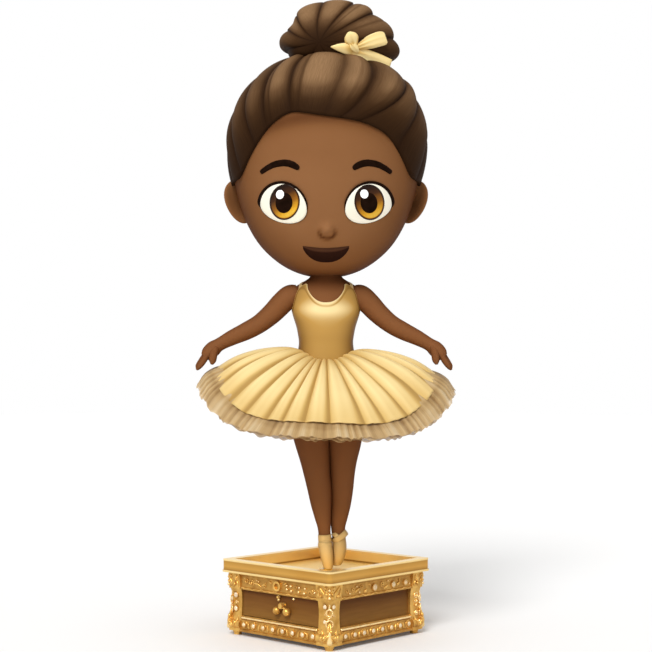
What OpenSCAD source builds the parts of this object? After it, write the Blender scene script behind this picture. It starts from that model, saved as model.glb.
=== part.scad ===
// Ballerina jewellery box: a gilt casket with a drawer and an 18-note wind-up
// movement that turns a dancer standing on its top. Millimetres, +Z up.
// The origin is the middle of the casket's footprint. The drawer opens to -Y.

/* [Casket] */
// Width over the top rim, square in plan
rim_w = 83; // [82:0.5:85]
// Height from the feet to the top of the rim
casket_h = 41.5; // [41:0.5:43]
// Depth of the tray sunk inside the rim
tray_depth = 6.2; // [5.9:0.1:6.5]
// Width of one face of a corner post
post_w = 9; // [8:0.5:10]
// Number of stones along each plinth rail
stones_per_rail = 8; // [5:1:8]

/* [Drawer] */
// Side-to-side and top clearance of the drawer front
drawer_gap = 0.3; // [0.3:0.05:0.5]
// Depth of the drawer from its face to its back
drawer_depth = 24.5; // [20:0.5:25]
// Diameter of a pull ball
pull_ball_d = 4.4; // [3.6:0.1:4.8]

/* [Movement] */
// Diameter of the figure's shaft
shaft_d = 3; // [2.6:0.1:3]
// Radial clearance of every running shaft
running_fit = 0.06; // [0.03:0.01:0.09]
// Notes on the comb
notes = 18; // [12:1:18]
// Melody pins on each note's track
pins_per_note = 5; // [2:1:6]

/* [Dancer] */
// Angle the dancer is turned to, from the drawer side
figure_turn = 43; // [0:1:359]
// Half the span of the net skirt
net_r = 72; // [70:0.5:72]
// Half the span of the satin skirt
satin_r = 64; // [61:0.5:64]
// Pleats round the satin skirt
pleats = 30; // [20:1:32]
// Half the width of the head
head_r = 52.5; // [52:0.1:53]
// Thickness of the hollow head's wall
head_wall = 2.6; // [2:0.1:3]

/* [Hidden] */
$fn = 48;

// Colours
gold = "#C8923A";
pale_gold = "#EBCB7A";
wood = "#7A4E20";
brass = "#B5892F";
steel = "#B8BCC0";
skin_tone = "#8B5E3C";
hair_tone = "#5B4632";
satin = "#F2D08A";
net_tone = "#D2AE78";

// Casket levels and planes, from the feet up
foot_h = 2.5;
foot_r = 2.6;
plinth_top = 11;
opening_top = 25.6;
frieze_top = casket_h - 7;
deck_top = casket_h - tray_depth;
deck_t = 2;
half = rim_w / 2;
face = half - 3.9;
inner = half - 8.1;
post_in = face + 0.4 - post_w;
floor_t = 2.5;
rim_in = half - 6.1;
rebate = 1;
panel_face = inner + 1.8;
partition_y = -10.9;
partition_t = 1.5;
front_face = -(face - 1.5);
front_t = 2.2;

// Movement layout: vertical shafts at shaft and barrel, cylinder along X
plate_top = plinth_top + 1.6;
gear_m = 0.5;
figure_teeth = 33;
barrel_teeth = 48;
crown_teeth = 45;
pinion_teeth = 12;
wheel_teeth = 20;
governor_teeth = 10;
worm_teeth = 16;
worm_m = 0.4;
gear_t = 1.4;
gear_z = plate_top + 0.4;
train_y = 9.28;
barrel_x = -sqrt(pow((figure_teeth + barrel_teeth) * gear_m / 2, 2) - pow(train_y, 2));
barrel_dir = atan2(train_y, barrel_x);
crown_r = crown_teeth * gear_m / 2;
crown_plane = gear_z + 6.2;
cylinder_z = crown_plane + pinion_teeth * gear_m / 2;
cylinder_r = 6;
cylinder_x0 = 4;
cylinder_x1 = 22.4;
pin_h = 0.5;
wheel_x = 25;
governor_step = (wheel_teeth + governor_teeth) * gear_m / 2;
governor_dir = 145.9;
governor_y = train_y + governor_step * cos(governor_dir);
governor_z = cylinder_z + governor_step * sin(governor_dir);
worm_wheel_x = 27;
worm_wheel_t = 1.2;
worm_x = worm_wheel_x + worm_wheel_t / 2;
worm_pitch_r = 1.9;
worm_y = governor_y - worm_teeth * worm_m / 2 - worm_pitch_r;
worm_lead = PI * worm_m;
arbor_r = 1;
winding_r = 2;
shaft_r = shaft_d / 2;
frame_x = 29.4;
comb_tip = train_y + cylinder_r + pin_h + 0.2;

// Dancer levels
ankle_z = 52;
hip_z = 122;
neck_z = 198.6;
neck_r = 8;
head_z = 268;
head_up = 52.5;
head_down = 69;
head_power = 2.1;
hair_out = 4.2;
leg_split = 2.85;
skirt_z0 = 155.8;

// Casket ornament
corner_r = 6.5;
rim_r = 3;
waist_out = face - 1;
waist_z = 18.5;
head_step = face + 0.8;
scroll_out = face + 1.8;
scroll_r = 2.3;
scroll_z = 6.2;
seat_out = waist_out - 0.15;
plinth_stone = 1.2;
plinth_mid = foot_h + 4;
frieze_mid = 29.5;
frieze_places = [[-2.3, 1.7], [13.1, 1.5], [23.3, 1.3]];
post_places = [[-33.6, 21.9, 1.5], [-33.6, 14.5, 1.4], [33.8, 22.6, 1.2], [33.8, 14.8, 1.1]];
rail_step = (2 * post_in - 6) / (stones_per_rail - 1);
ring_x = -0.4;
ring_z = 30;
pull_x = 3.2;
pull_z = 20;
pull_y = front_face - 2.1;
pull_pin = 0.8;
bead_x = -0.2;
bead_z = 24.2;
bead_pin = 0.4;

// Movement details
ratchet_z = crown_plane + 0.8;
ratchet_r = 5.6;
bridge_z = ratchet_z + 1.5;
bridge_reach = 14.7;
shaft_end = deck_top + 9;
comb_t = 1.1;
comb_z = cylinder_z - 0.9;
comb_top = comb_z + comb_t;
arm_x = 22.9;
frame_top = governor_z + 5.4;

// Dancer details
toe_z = deck_top + 0.7;
eye_x = 22.2;
eye_z = 235.2;
eye_w = 12.7;
eye_h = 10.8;
ball_r = 36;
iris_r = 7.5;
pupil_r = 4.4;
iris_in = 0.3;
iris_up = -0.2;
mouth_z = 212.9;
bun_x = 6.5;
bun_z = 334.4;
eye_seat = -2.2;

// ---------- shared shapes ----------

// A ring of n points round an ellipse, anticlockwise seen from above
function ring(x, y, z, a, b, n = 24) =
  [for (j = [0:n-1]) [x + a * cos(360 * j / n), y + b * sin(360 * j / n), z]];

// The same ring held to one side of the plane x = limit
function held_ring(x, y, z, a, b, limit, side, n = 24) =
  [for (p = ring(x, y, z, a, b, n)) [side > 0 ? max(p[0], limit) : min(p[0], limit), p[1], p[2]]];

// A round tube's rings along a path in the XZ plane; each row is [x, y, z, thick, deep]
function limb_rings(path, n = 16) = [
  for (i = [0:len(path)-1])
    let (p = path[i], q0 = path[max(i-1, 0)], q1 = path[min(i+1, len(path)-1)])
    let (dx = q1[0] - q0[0], dz = q1[2] - q0[2], l = norm([dx, dz]))
    [for (j = [0:n-1])
      let (u = p[3] * cos(360 * j / n), v = p[4] * sin(360 * j / n))
      [p[0] + u * dz / l, p[1] + v, p[2] - u * dx / l]]
];

// A solid skinned over a stack of rings, closed at both ends
module skin(rings) {
  n = len(rings[0]);
  m = len(rings);
  polyhedron(
    points = [for (r = rings) each r],
    faces = concat(
      [[for (j = [0:n-1]) j]],
      [for (i = [0:m-2], j = [0:n-1]) each side_faces(i, i + 1, j, n)],
      [[for (j = [n-1:-1:0]) (m-1) * n + j]]
    )
  );
}

// A shell skinned over rings that close on themselves, like a tyre
module loop_skin(rings) {
  n = len(rings[0]);
  m = len(rings);
  polyhedron(
    points = [for (r = rings) each r],
    faces = [for (i = [0:m-1], j = [0:n-1]) each side_faces(i, (i + 1) % m, j, n)]
  );
}

// Two triangles between ring a and ring b at place j
function side_faces(a, b, j, n) = [
  [a * n + j, b * n + j, b * n + (j + 1) % n],
  [a * n + j, b * n + (j + 1) % n, a * n + (j + 1) % n]
];

function reversed(list) = [for (i = [len(list)-1:-1:0]) list[i]];

module four_sides() {
  for (a = [0:90:270]) rotate([0, 0, a]) children();
}

module on_figure() {
  rotate([0, 0, figure_turn]) children();
}

// Turns a drawing in XY so that it stands across the X axis
module across_x(x) {
  translate([x, 0, 0]) rotate([90, 0, 90]) children();
}

// ---------- casket ----------

// How far a corner post's hollow face stands out at height z, below its head
function post_out(z) = waist_out
  + (z > waist_z ? 0.8 * pow((z - waist_z) / (opening_top - waist_z), 2)
                 : 2.2 * pow((waist_z - z) / (waist_z - foot_h), 2));

// The post's head, spreading a little up to the rim
function head_out(z) = head_step + 0.8 * pow((z - opening_top) / (frieze_top - opening_top), 2);

// One side of a post: hollow shaft, stepped head and the roll of its scroll foot
module post_side() {
  steps = 9;
  shaft = [for (i = [0:steps]) let (z = foot_h + (opening_top - foot_h) * i / steps) [post_out(z), z]];
  top = [for (i = [0:4]) let (z = opening_top + (frieze_top - opening_top) * i / 4) [head_out(z), z]];
  rotate([90, 0, 0]) linear_extrude(2 * rim_w, center = true) {
    polygon(concat([[post_in, foot_h]], shaft, top, [[post_in, frieze_top]]));
    translate([scroll_out - scroll_r, scroll_z]) circle(r = scroll_r);
  }
}

// Both curved sides of the post on the +X +Y corner
module post_block() {
  intersection() {
    post_side();
    rotate([0, 0, 90]) mirror([0, 1, 0]) post_side();
    linear_extrude(rim_w) rounded_square(2 * scroll_out + 0.4, corner_r - 1);
  }
}

module corner_posts() {
  color(gold) difference() {
    four_sides() difference() {
      post_block();
      translate([0, 0, -1]) cube([inner, inner, rim_w]);
      deck_rebate();
    }
    at_post_stones() cylinder(r = $stone_r + 0.55, h = half);
  }
}

// The step that the deck lies in, cut from posts and rails
module deck_rebate() {
  side = 2 * (rim_in + rebate);
  translate([-side / 2, -side / 2, deck_top - deck_t]) cube([side, side, rim_w]);
}

// A rail along +X between two posts, from an outline of depth against height
module rail(outline) {
  translate([0, post_in, 0]) rotate([90, 0, 0]) linear_extrude(2 * post_in) polygon(outline);
}

module frieze_rails() {
  lo = opening_top;
  hi = frieze_top;
  outline = [[inner, lo], [face + 0.5, lo], [face + 0.5, lo + 1.1], [face, lo + 1.5],
    [face, hi - 1.6], [face + 0.5, hi - 1.2], [face + 0.5, hi], [inner, hi]];
  color(gold) difference() {
    four_sides() rail(outline);
    deck_rebate();
  }
}

module plinth_rails() {
  lo = foot_h;
  hi = plinth_top;
  outline = [[inner, lo], [face + 0.8, lo], [face + 0.8, lo + 1.1], [face, lo + 1.6],
    [face, hi - 2], [face - 0.5, hi - 1.6], [face - 0.5, hi - 0.6], [face - 1, hi], [inner, hi]];
  color(gold) four_sides() rail(outline);
}

module side_panels() {
  color(wood) for (a = [0, 90, 180]) rotate([0, 0, a]) translate([inner, -post_in, plinth_top])
    cube([panel_face - inner, 2 * post_in, opening_top - plinth_top]);
}

module floor_panel() {
  color(wood) difference() {
    translate([-inner, -inner, plinth_top - floor_t]) cube([2 * inner, 2 * inner, floor_t]);
    translate([barrel_x, train_y, 0]) cylinder(r = winding_r + 0.5, h = rim_w);
  }
}

module partition() {
  color(wood) translate([-inner, partition_y, plinth_top])
    cube([2 * inner, partition_t, deck_top - deck_t - plinth_top]);
}

module feet() {
  place = half - 6.9;
  color(gold) for (x = [-place, place], y = [-place, place]) translate([x, y, 0]) {
    cylinder(r = foot_r - 0.4, h = foot_h);
    translate([0, 0, foot_h - 1.2]) cylinder(r = foot_r, h = 1.2);
  }
}

module rounded_square(size, r) {
  c = size / 2 - r;
  union() {
    square([size, 2 * c], center = true);
    square([2 * c, size], center = true);
    for (x = [-c, c], y = [-c, c]) translate([x, y]) circle(r);
  }
}

// One course of the rim between two heights
module rim_course(size, from_z, to_z, hole) {
  translate([0, 0, from_z]) linear_extrude(to_z - from_z) difference() {
    rounded_square(size, rim_r - (rim_w - size) / 2);
    square(hole, center = true);
  }
}

module top_rim() {
  hole = 2 * rim_in;
  color(gold) difference() {
    union() {
      rim_course(rim_w, frieze_top, frieze_top + 1.1, hole);
      rim_course(rim_w - 1, frieze_top + 1.1, casket_h - 0.7, hole);
      rim_course(rim_w - 0.6, casket_h - 0.7, casket_h, hole + 1);
    }
    translate([0, 0, deck_top - rim_w]) linear_extrude(rim_w) square(hole + 2 * rebate, center = true);
  }
}

module top_deck() {
  side = 2 * (rim_in + rebate);
  color(gold) difference() {
    translate([-side / 2, -side / 2, deck_top - deck_t]) cube([side, side, deck_t]);
    cylinder(r = shaft_r + 1.4, h = rim_w);
  }
}

module deck_bush() {
  color(brass) difference() {
    union() {
      translate([0, 0, deck_top - 3.6]) cylinder(r = shaft_r + 1.4, h = 3.6);
      translate([0, 0, deck_top]) cylinder(r = shaft_r + 2.2, h = 0.4);
    }
    cylinder(r = shaft_r + running_fit, h = rim_w);
  }
}

// ---------- applied ornament ----------

// Stands its child on a side of the casket at out from the middle, facing outward
module at_stone(turn, out, along, z, r) {
  $stone_r = r;
  rotate([0, 0, turn]) translate([out, along, z]) rotate([0, 90, 0]) children();
}

// Stones set on the rails: a row round the plinth, three on each frieze but the drawer's
module at_rail_stones() {
  for (turn = [0:90:270], i = [0:stones_per_rail-1])
    at_stone(turn, face, -post_in + 3 + i * rail_step, plinth_mid, plinth_stone) children();
  for (turn = [0, 90, 180], place = frieze_places)
    at_stone(turn, face, place[0], frieze_mid, place[1]) children();
}

// Stones sunk in drilled seats on the posts; those by the drawer and behind it are in pairs
module at_post_stones() {
  for (turn = [90, 270], place = post_places)
    at_stone(turn, seat_out, place[0], place[1], place[2]) children();
  for (turn = [0, 180], place = [post_places[2]])
    at_stone(turn, seat_out, -place[0], place[1], place[2]) children();
}

module at_stones() {
  at_rail_stones() children();
  at_post_stones() children();
}

module stone_settings() {
  color(gold) at_stones() difference() {
    cylinder(r1 = $stone_r + 0.5, r2 = $stone_r + 0.3, h = 0.8);
    translate([0, 0, -1]) cylinder(r = $stone_r, h = 3);
  }
}

module stones() {
  color("#E9DED6") at_stones() {
    cylinder(r = $stone_r, h = 0.7);
    translate([0, 0, 0.7]) cylinder(r1 = $stone_r, r2 = $stone_r * 0.6, h = 0.5);
  }
}

// Pale drop applied to the foot of each post, on its outer corner
module leaf_drops() {
  radial = sqrt(2) * post_out(foot_h + 3) - 0.4;
  color(pale_gold) four_sides() difference() {
    rotate([0, 0, 45]) translate([radial, 0, foot_h + 1]) {
      cylinder(r1 = 1.2, r2 = 1.6, h = 0.9);
      translate([0, 0, 0.9]) cylinder(r1 = 1.6, r2 = 1.1, h = 5.2);
      translate([0, 0, 6.1]) cylinder(r1 = 1.1, r2 = 0.5, h = 0.7);
    }
    post_block();
  }
}

// Plain ring applied to the front frieze
module frieze_ring() {
  color(gold) translate([ring_x, -face, ring_z]) rotate([90, 0, 0]) difference() {
    cylinder(r = 2.7, h = 1.1);
    translate([0, 0, -1]) cylinder(r = 1.6, h = 3);
  }
}

// ---------- drawer ----------

module drawer_front() {
  w = 2 * (post_in - drawer_gap);
  h = opening_top - plinth_top - 2 * drawer_gap;
  color(wood) translate([-w / 2, front_face, plinth_top + drawer_gap]) difference() {
    cube([w, front_t, h]);
    translate([w / 2 + pull_x, -1, pull_z - plinth_top - drawer_gap]) rotate([-90, 0, 0])
      cylinder(r = pull_pin, h = 10);
    translate([w / 2 + bead_x, -1, bead_z - plinth_top - drawer_gap]) rotate([-90, 0, 0])
      cylinder(r = bead_pin, h = 10);
  }
}

module drawer_tray() {
  w = 2 * (post_in - 1.5);
  depth = drawer_depth - front_t;
  h = 12.4;
  wall = 1.5;
  color("#8A5F26") translate([-w / 2, front_face + front_t, plinth_top + drawer_gap]) difference() {
    cube([w, depth, h]);
    translate([wall, wall, wall]) cube([w - 2 * wall, depth - 2 * wall, h]);
  }
}

// Round-headed post that the pull hangs on, pinned through the drawer front
module pull_post() {
  color(gold) translate([pull_x, 0, pull_z]) rotate([-90, 0, 0]) {
    translate([0, 0, front_face - 2.9]) cylinder(r = pull_pin, h = front_t + 2.9);
    translate([0, 0, front_face - 3.5]) cylinder(r = 1.4, h = 0.7);
    translate([0, 0, front_face - 0.3]) cylinder(r = 1.5, h = 0.3);
  }
}

// Headed pin near the drawer's top edge, for the string of beads
module bead_hook() {
  color(gold) translate([bead_x, 0, bead_z]) rotate([-90, 0, 0]) {
    translate([0, 0, front_face - 1.4]) cylinder(r = bead_pin, h = front_t + 1.4);
    translate([0, 0, front_face - 1.9]) cylinder(r = 0.7, h = 0.5);
  }
}

// Two balls on arms from a ring that swings on the post
module pull_drop() {
  color(gold) translate([pull_x, pull_y, pull_z]) rotate([90, 0, 0]) difference() {
    union() {
      cylinder(r = 1.7, h = 0.8, center = true);
      for (side = [-1, 1]) rotate([0, 0, side * 52]) {
        translate([0, -2.4, 0]) rotate([90, 0, 0]) cylinder(r = 0.45, h = 2.6, center = true);
        translate([0, -4.7, 0]) sphere(r = pull_ball_d / 2);
      }
    }
    cylinder(r = pull_pin + running_fit, h = 9, center = true);
    translate([-9, -18, -3.6]) cube([18, 18, 2]);
  }
}

// Small bead hanging by its eye from the hook
module bead_drop() {
  color(pale_gold) translate([bead_x, front_face - 0.85, bead_z]) {
    rotate([90, 0, 0]) difference() {
      cylinder(r = 0.95, h = 0.7, center = true);
      cylinder(r = bead_pin + running_fit, h = 3, center = true);
    }
    translate([0, 0, -1.5]) sphere(r = 0.8, $fn = 24);
  }
}

// ---------- movement ----------

// Toothed wheel's outline; tooth widths are shares of the pitch, so the mesh has backlash
module gear_2d(teeth, module_size, turn = 0) {
  r = teeth * module_size / 2;
  pitch = PI * module_size;
  steps = [[r - module_size, -0.26], [r, -0.19], [r + 0.8 * module_size, -0.1],
    [r + 0.8 * module_size, 0.1], [r, 0.19], [r - module_size, 0.26]];
  polygon([for (k = [0:teeth-1]) each
    [for (s = steps) let (a = turn + 360 * k / teeth + s[1] * pitch / s[0] * 180 / PI)
      [s[0] * cos(a), s[0] * sin(a)]]]);
}

module bedplate() {
  color(steel) difference() {
    union() {
      translate([-inner + 0.8, partition_y + partition_t + 0.2, plinth_top])
        cube([2 * inner - 1.6, inner - partition_y - partition_t - 1, plate_top - plinth_top]);
      translate([2.8, 24.5, plate_top]) cube([20.8, 6.5, cylinder_z - plate_top - 0.9]);
    }
    cylinder(r = shaft_r + running_fit, h = rim_w);
    translate([barrel_x, train_y, 0]) cylinder(r = winding_r + running_fit, h = rim_w);
    translate([worm_x, worm_y, plate_top - 1]) cylinder(r = 0.6 + running_fit, h = 5);
  }
}

// Cheese-head screws: three hold the comb, four hold the bedplate to the floor
module movement_screws() {
  color(steel) {
    for (x = [5.5, 13.2, 20.9]) translate([x, 28.4, comb_top]) screw_head(1.6);
    for (x = [-inner + 3.4, inner - 3.4], y = [partition_y + 4.4, inner - 3.6])
      translate([x, y, plate_top]) screw_head(1.5);
  }
}

module screw_head(r) {
  difference() {
    cylinder(r = r, h = 1.1);
    translate([-r, -0.25, 0.6]) cube([2 * r, 0.5, 1]);
  }
}

module at_barrel() {
  translate([barrel_x, train_y, 0]) children();
}

// Spring barrel: gear below, drum, and a crown of teeth on the lid
module spring_barrel() {
  lid = crown_plane - 0.65;
  color(brass) at_barrel() {
    difference() {
      union() {
        translate([0, 0, gear_z]) linear_extrude(gear_t)
          gear_2d(barrel_teeth, gear_m, barrel_dir + 180 + 180 / barrel_teeth);
        translate([0, 0, gear_z + gear_t]) cylinder(r = 11.2, h = lid - 0.8 - gear_z - gear_t);
        translate([0, 0, lid - 0.8]) cylinder(r = crown_r + 1, h = 0.8);
      }
      translate([0, 0, gear_z + 0.9]) cylinder(r = 10.2, h = lid - 0.9 - gear_z - 0.9);
      cylinder(r = winding_r + running_fit, h = rim_w);
    }
    for (k = [0:crown_teeth-1]) rotate([0, 0, (k + 0.5) * 360 / crown_teeth])
      translate([crown_r - 1, 0, lid]) rotate([90, 0, 90]) linear_extrude(1.9)
        polygon([[-0.33, -0.2], [0.33, -0.2], [0.33, 0], [0.14, 1.05], [-0.14, 1.05], [-0.33, 0]]);
  }
}

// Coiled ribbon spring, run down against the drum's wall
module mainspring() {
  turns = 5;
  steps = turns * 24;
  function coil(i, side) = let (r = 5.4 + 4.6 * i / steps + side * 0.15, a = 15 * i)
    [r * cos(a), r * sin(a)];
  color("#5F6670") at_barrel() translate([0, 0, gear_z + 1.1]) linear_extrude(2.8)
    polygon(concat([for (i = [0:steps]) coil(i, 1)], [for (i = [steps:-1:0]) coil(i, -1)]));
}

module winding_arbor() {
  color(steel) at_barrel() translate([0, 0, 3.4]) cylinder(r = winding_r, h = ratchet_z + 3 - 3.4);
}

// Flat winged key, in the hollow under the floor
module winding_key() {
  key_top = plinth_top - floor_t - 0.35;
  color(brass) at_barrel() difference() {
    union() {
      translate([0, 0, 3.4]) cylinder(r = winding_r + 0.9, h = key_top - 3.4);
      rotate([90, 0, 0]) linear_extrude(1.6, center = true) difference() {
        union() {
          for (side = [-1, 1]) translate([side * 6, 5.1]) circle(2.5);
          translate([-5.5, 3.7]) square([11, 2.8]);
        }
        for (side = [-1, 1]) translate([side * 6.2, 5.1]) circle(1.1);
      }
    }
    translate([0, 0, 3.4]) cylinder(r = winding_r, h = rim_w);
  }
}

module ratchet_wheel() {
  teeth = 16;
  color(steel) at_barrel() translate([0, 0, ratchet_z]) linear_extrude(1.1) difference() {
    polygon([for (k = [0:teeth-1]) each
      [[ratchet_r * cos(360 * k / teeth), ratchet_r * sin(360 * k / teeth)],
       [(ratchet_r - 0.9) * cos(360 * (k + 0.12) / teeth),
        (ratchet_r - 0.9) * sin(360 * (k + 0.12) / teeth)]]]);
    circle(winding_r);
  }
}

// Pawl blade that stops the ratchet from running back, clamped under the bridge
module click_spring() {
  color(steel) at_barrel() translate([0, 0, ratchet_z]) linear_extrude(bridge_z - ratchet_z)
    polygon([[-2.6, bridge_reach - 2.4], [-2, bridge_reach - 2.4], [-0.4, 8.6], [1.2, ratchet_r + 0.35],
      [1.9, ratchet_r + 0.3], [0.2, 9], [2.4, bridge_reach - 2.2], [2.4, bridge_reach - 1.9],
      [-2.6, bridge_reach - 1.9]]);
}

module barrel_bridge() {
  color(brass) at_barrel() difference() {
    union() {
      for (side = [-1, 1]) translate([0, side * bridge_reach, plate_top])
        cylinder(r = 1.8, h = bridge_z - plate_top);
      translate([-3, -bridge_reach - 1.8, bridge_z]) cube([6, 2 * bridge_reach + 3.6, 1.4]);
    }
    cylinder(r = winding_r + running_fit, h = rim_w);
  }
}

module figure_gear() {
  color(brass) difference() {
    union() {
      translate([0, 0, gear_z]) linear_extrude(gear_t) gear_2d(figure_teeth, gear_m, barrel_dir);
      translate([0, 0, gear_z + gear_t]) cylinder(r = shaft_r + 1.3, h = 1.6);
    }
    cylinder(r = shaft_r, h = rim_w);
  }
}

module figure_shaft() {
  color(steel) translate([0, 0, plinth_top + 0.5])
    cylinder(r = shaft_r, h = shaft_end - plinth_top - 0.5);
}

// Brass cylinder set with melody pins, one track for each note
module pinned_cylinder() {
  track = (cylinder_x1 - cylinder_x0 - 1.4) / (notes - 1);
  color(brass) difference() {
    union() {
      translate([cylinder_x0, train_y, cylinder_z]) rotate([0, 90, 0])
        cylinder(r = cylinder_r, h = cylinder_x1 - cylinder_x0);
      for (i = [0:notes-1], k = [0:pins_per_note-1])
        translate([cylinder_x0 + 0.7 + i * track, train_y, cylinder_z])
          rotate([k * 360 / pins_per_note + (i * 137) % 61, 0, 0]) translate([0, 0, cylinder_r - 0.3])
            cylinder(r = 0.2, h = pin_h + 0.3, $fn = 6);
    }
    translate([0, train_y, cylinder_z]) rotate([0, 90, 0]) cylinder(r = arbor_r, h = rim_w);
  }
}

// Steel arbor with the crown pinion at one end and the first wheel at the other
module cylinder_arbor() {
  pinion_x = barrel_x + crown_r;
  color(brass) {
    translate([pinion_x - 1.6, train_y, cylinder_z]) rotate([0, 90, 0])
      cylinder(r = arbor_r, h = frame_x + 1 - pinion_x + 1.6);
    translate([0, train_y, cylinder_z]) {
      across_x(pinion_x - 0.8) linear_extrude(1.6) gear_2d(pinion_teeth, gear_m);
      across_x(wheel_x) linear_extrude(gear_t) gear_2d(wheel_teeth, gear_m, governor_dir);
    }
  }
}

// Tuned steel comb: slots cut deeper towards the low notes
module comb() {
  step = (cylinder_x1 - cylinder_x0 - 1.4) / (notes - 1);
  x0 = cylinder_x0 + 0.7;
  color("#9EA4AA") {
    translate([2.8, 24.4, comb_z]) cube([20.8, 6.6, comb_t]);
    for (i = [0:notes-1]) translate([x0 + i * step - 0.36, comb_tip, comb_top - 0.45])
      cube([0.72, 24.4 - comb_tip, 0.45]);
    translate([0, 0, comb_z]) linear_extrude(comb_t)
      polygon([[2.8, 24.4], [2.8, 23.6 - 2.4], [23.6, 23.6], [23.6, 24.4]]);
  }
}

module cylinder_bracket() {
  color(steel) difference() {
    union() {
      translate([-3.6, train_y - 0.4, plate_top]) cube([1.5, 4.4, cylinder_z - plate_top]);
      translate([-3.6, train_y, cylinder_z]) rotate([0, 90, 0]) cylinder(r = 2.4, h = 1.5);
    }
    translate([-5, train_y, cylinder_z]) rotate([0, 90, 0]) cylinder(r = arbor_r + running_fit, h = 5);
  }
}

// Standing plate with an overhead arm: holds cylinder, governor arbor and worm
module governor_frame() {
  color(steel) difference() {
    union() {
      translate([frame_x, worm_y + 2.6, plate_top])
        cube([1.5, train_y + 1.4 - worm_y, frame_top - plate_top]);
      translate([arm_x, worm_y - 1.6, frame_top - 1.4])
        cube([frame_x + 1.5 - arm_x, governor_y + 2.4 - worm_y, 1.4]);
      translate([arm_x, governor_y - 1.3, governor_z]) cube([1.2, 2.1, frame_top - governor_z]);
      translate([arm_x, governor_y, governor_z]) rotate([0, 90, 0]) cylinder(r = 1.3, h = 1.2);
    }
    translate([10, train_y, cylinder_z]) rotate([0, 90, 0]) cylinder(r = arbor_r + running_fit, h = 30);
    translate([10, governor_y, governor_z]) rotate([0, 90, 0]) cylinder(r = 0.6 + running_fit, h = 30);
    translate([worm_x, worm_y, plate_top]) cylinder(r = 0.6 + running_fit, h = 30);
  }
}

module governor_arbor() {
  color(brass) translate([0, governor_y, governor_z]) {
    translate([arm_x, 0, 0]) rotate([0, 90, 0]) cylinder(r = 0.6, h = frame_x + 1.5 - arm_x);
    across_x(wheel_x - 0.2) linear_extrude(gear_t + 0.4) difference() {
      gear_2d(governor_teeth, gear_m, governor_dir + 180 + 180 / governor_teeth);
      circle(0.6);
    }
    across_x(worm_wheel_x) linear_extrude(worm_wheel_t) difference() {
      gear_2d(worm_teeth, worm_m);
      circle(0.6);
    }
  }
}

// Endless screw: a helical thread wound on a core, running in the worm wheel
module fly_worm() {
  turns = 5;
  seg = 16;
  core = 1.5;
  tip = 2.2;
  start_z = governor_z - worm_lead * (turns / 2 + 0.25);
  function thread(i) = let (a = 360 * i / seg, z = start_z + worm_lead * i / seg)
    [[(core - 0.2) * cos(a), (core - 0.2) * sin(a), z + 0.3],
     [tip * cos(a), tip * sin(a), z + 0.13],
     [tip * cos(a), tip * sin(a), z - 0.13],
     [(core - 0.2) * cos(a), (core - 0.2) * sin(a), z - 0.3]];
  color(steel) translate([worm_x, worm_y, 0]) {
    translate([0, 0, plate_top - 0.9]) cylinder(r = 0.6, h = frame_top - plate_top + 0.9);
    translate([0, 0, start_z - 0.6]) cylinder(r = core, h = worm_lead * turns + 1.2);
    skin([for (i = [0:turns*seg]) thread(i)]);
  }
}

// Two-bladed air brake on the worm's shaft
module fly_vane() {
  color(brass) translate([worm_x, worm_y, plate_top + 1.2]) difference() {
    union() {
      cylinder(r = 1.3, h = 6);
      translate([-2.8, -0.3, 0.4]) cube([5.6, 0.6, 5.2]);
    }
    translate([0, 0, -1]) cylinder(r = 0.6, h = 9);
  }
}

// ---------- dancer's body ----------

module leg(side, path) {
  color(skin_tone) on_figure()
    skin([for (p = path) held_ring(p[0], p[1], p[2], p[3], p[3], side * 0.05 + leg_split, side)]);
}

// Rows are [x, y, z, radius] up the leg
module left_leg() {
  leg(-1, [[-0.6, 0.6, ankle_z, 3.2], [-1, 0.5, 58, 3.6], [-1.7, 0.6, 64, 4.6], [-2.7, 0.8, 72, 5.9],
    [-3.6, 0.8, 80, 6.8], [-4.9, 0.3, 88, 7.4], [-6, -0.2, 96, 8.4], [-7.4, -0.2, 106, 10],
    [-8.8, 0, 115, 10.9], [-9.8, 0, hip_z, 11]]);
}

module right_leg() {
  leg(1, [[7.6, 4.6, ankle_z, 3.2], [7.5, 4.4, 58, 3.5], [8, 4.2, 64, 4.5], [8.6, 3.8, 72, 5.6],
    [8.9, 3.2, 80, 6.4], [9.1, 2.4, 88, 7], [9.5, 1.6, 96, 7.9], [10.3, 0.9, 106, 9.5],
    [10.6, 0.4, 115, 10.6], [10.8, 0, hip_z, 11]]);
}

// Pointe shoe from the block under the toes up to the ankle; rows are [x, y, z, wide, deep]
module shoe(path) {
  skin([for (p = path) ring(p[0], p[1], p[2], p[3], p[4], 24)]);
}

module left_shoe() {
  color(pale_gold) on_figure() difference() {
    shoe([[0.5, -0.2, toe_z, 2.5, 2.7], [0.5, -0.3, toe_z + 1.6, 3, 3.4], [0.3, -0.6, 41, 3.5, 4.6],
      [0, -0.6, 45, 3.9, 5.4], [-0.3, 0, 48.5, 3.9, 5.6], [-0.6, 0.6, ankle_z, 3.3, 4.2]]);
    cylinder(r = shaft_r, h = shaft_end);
  }
}

module right_shoe() {
  color(pale_gold) on_figure()
    shoe([[6.6, 5, toe_z + 0.2, 2.4, 2.7], [6.7, 4.9, toe_z + 1.8, 2.9, 3.4], [7, 4.6, 41.4, 3.4, 4.6],
      [7.3, 4.4, 45.4, 3.8, 5.2], [7.5, 4.6, 48.8, 3.8, 5.3], [7.6, 4.6, ankle_z, 3.2, 4.1]]);
}

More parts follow.
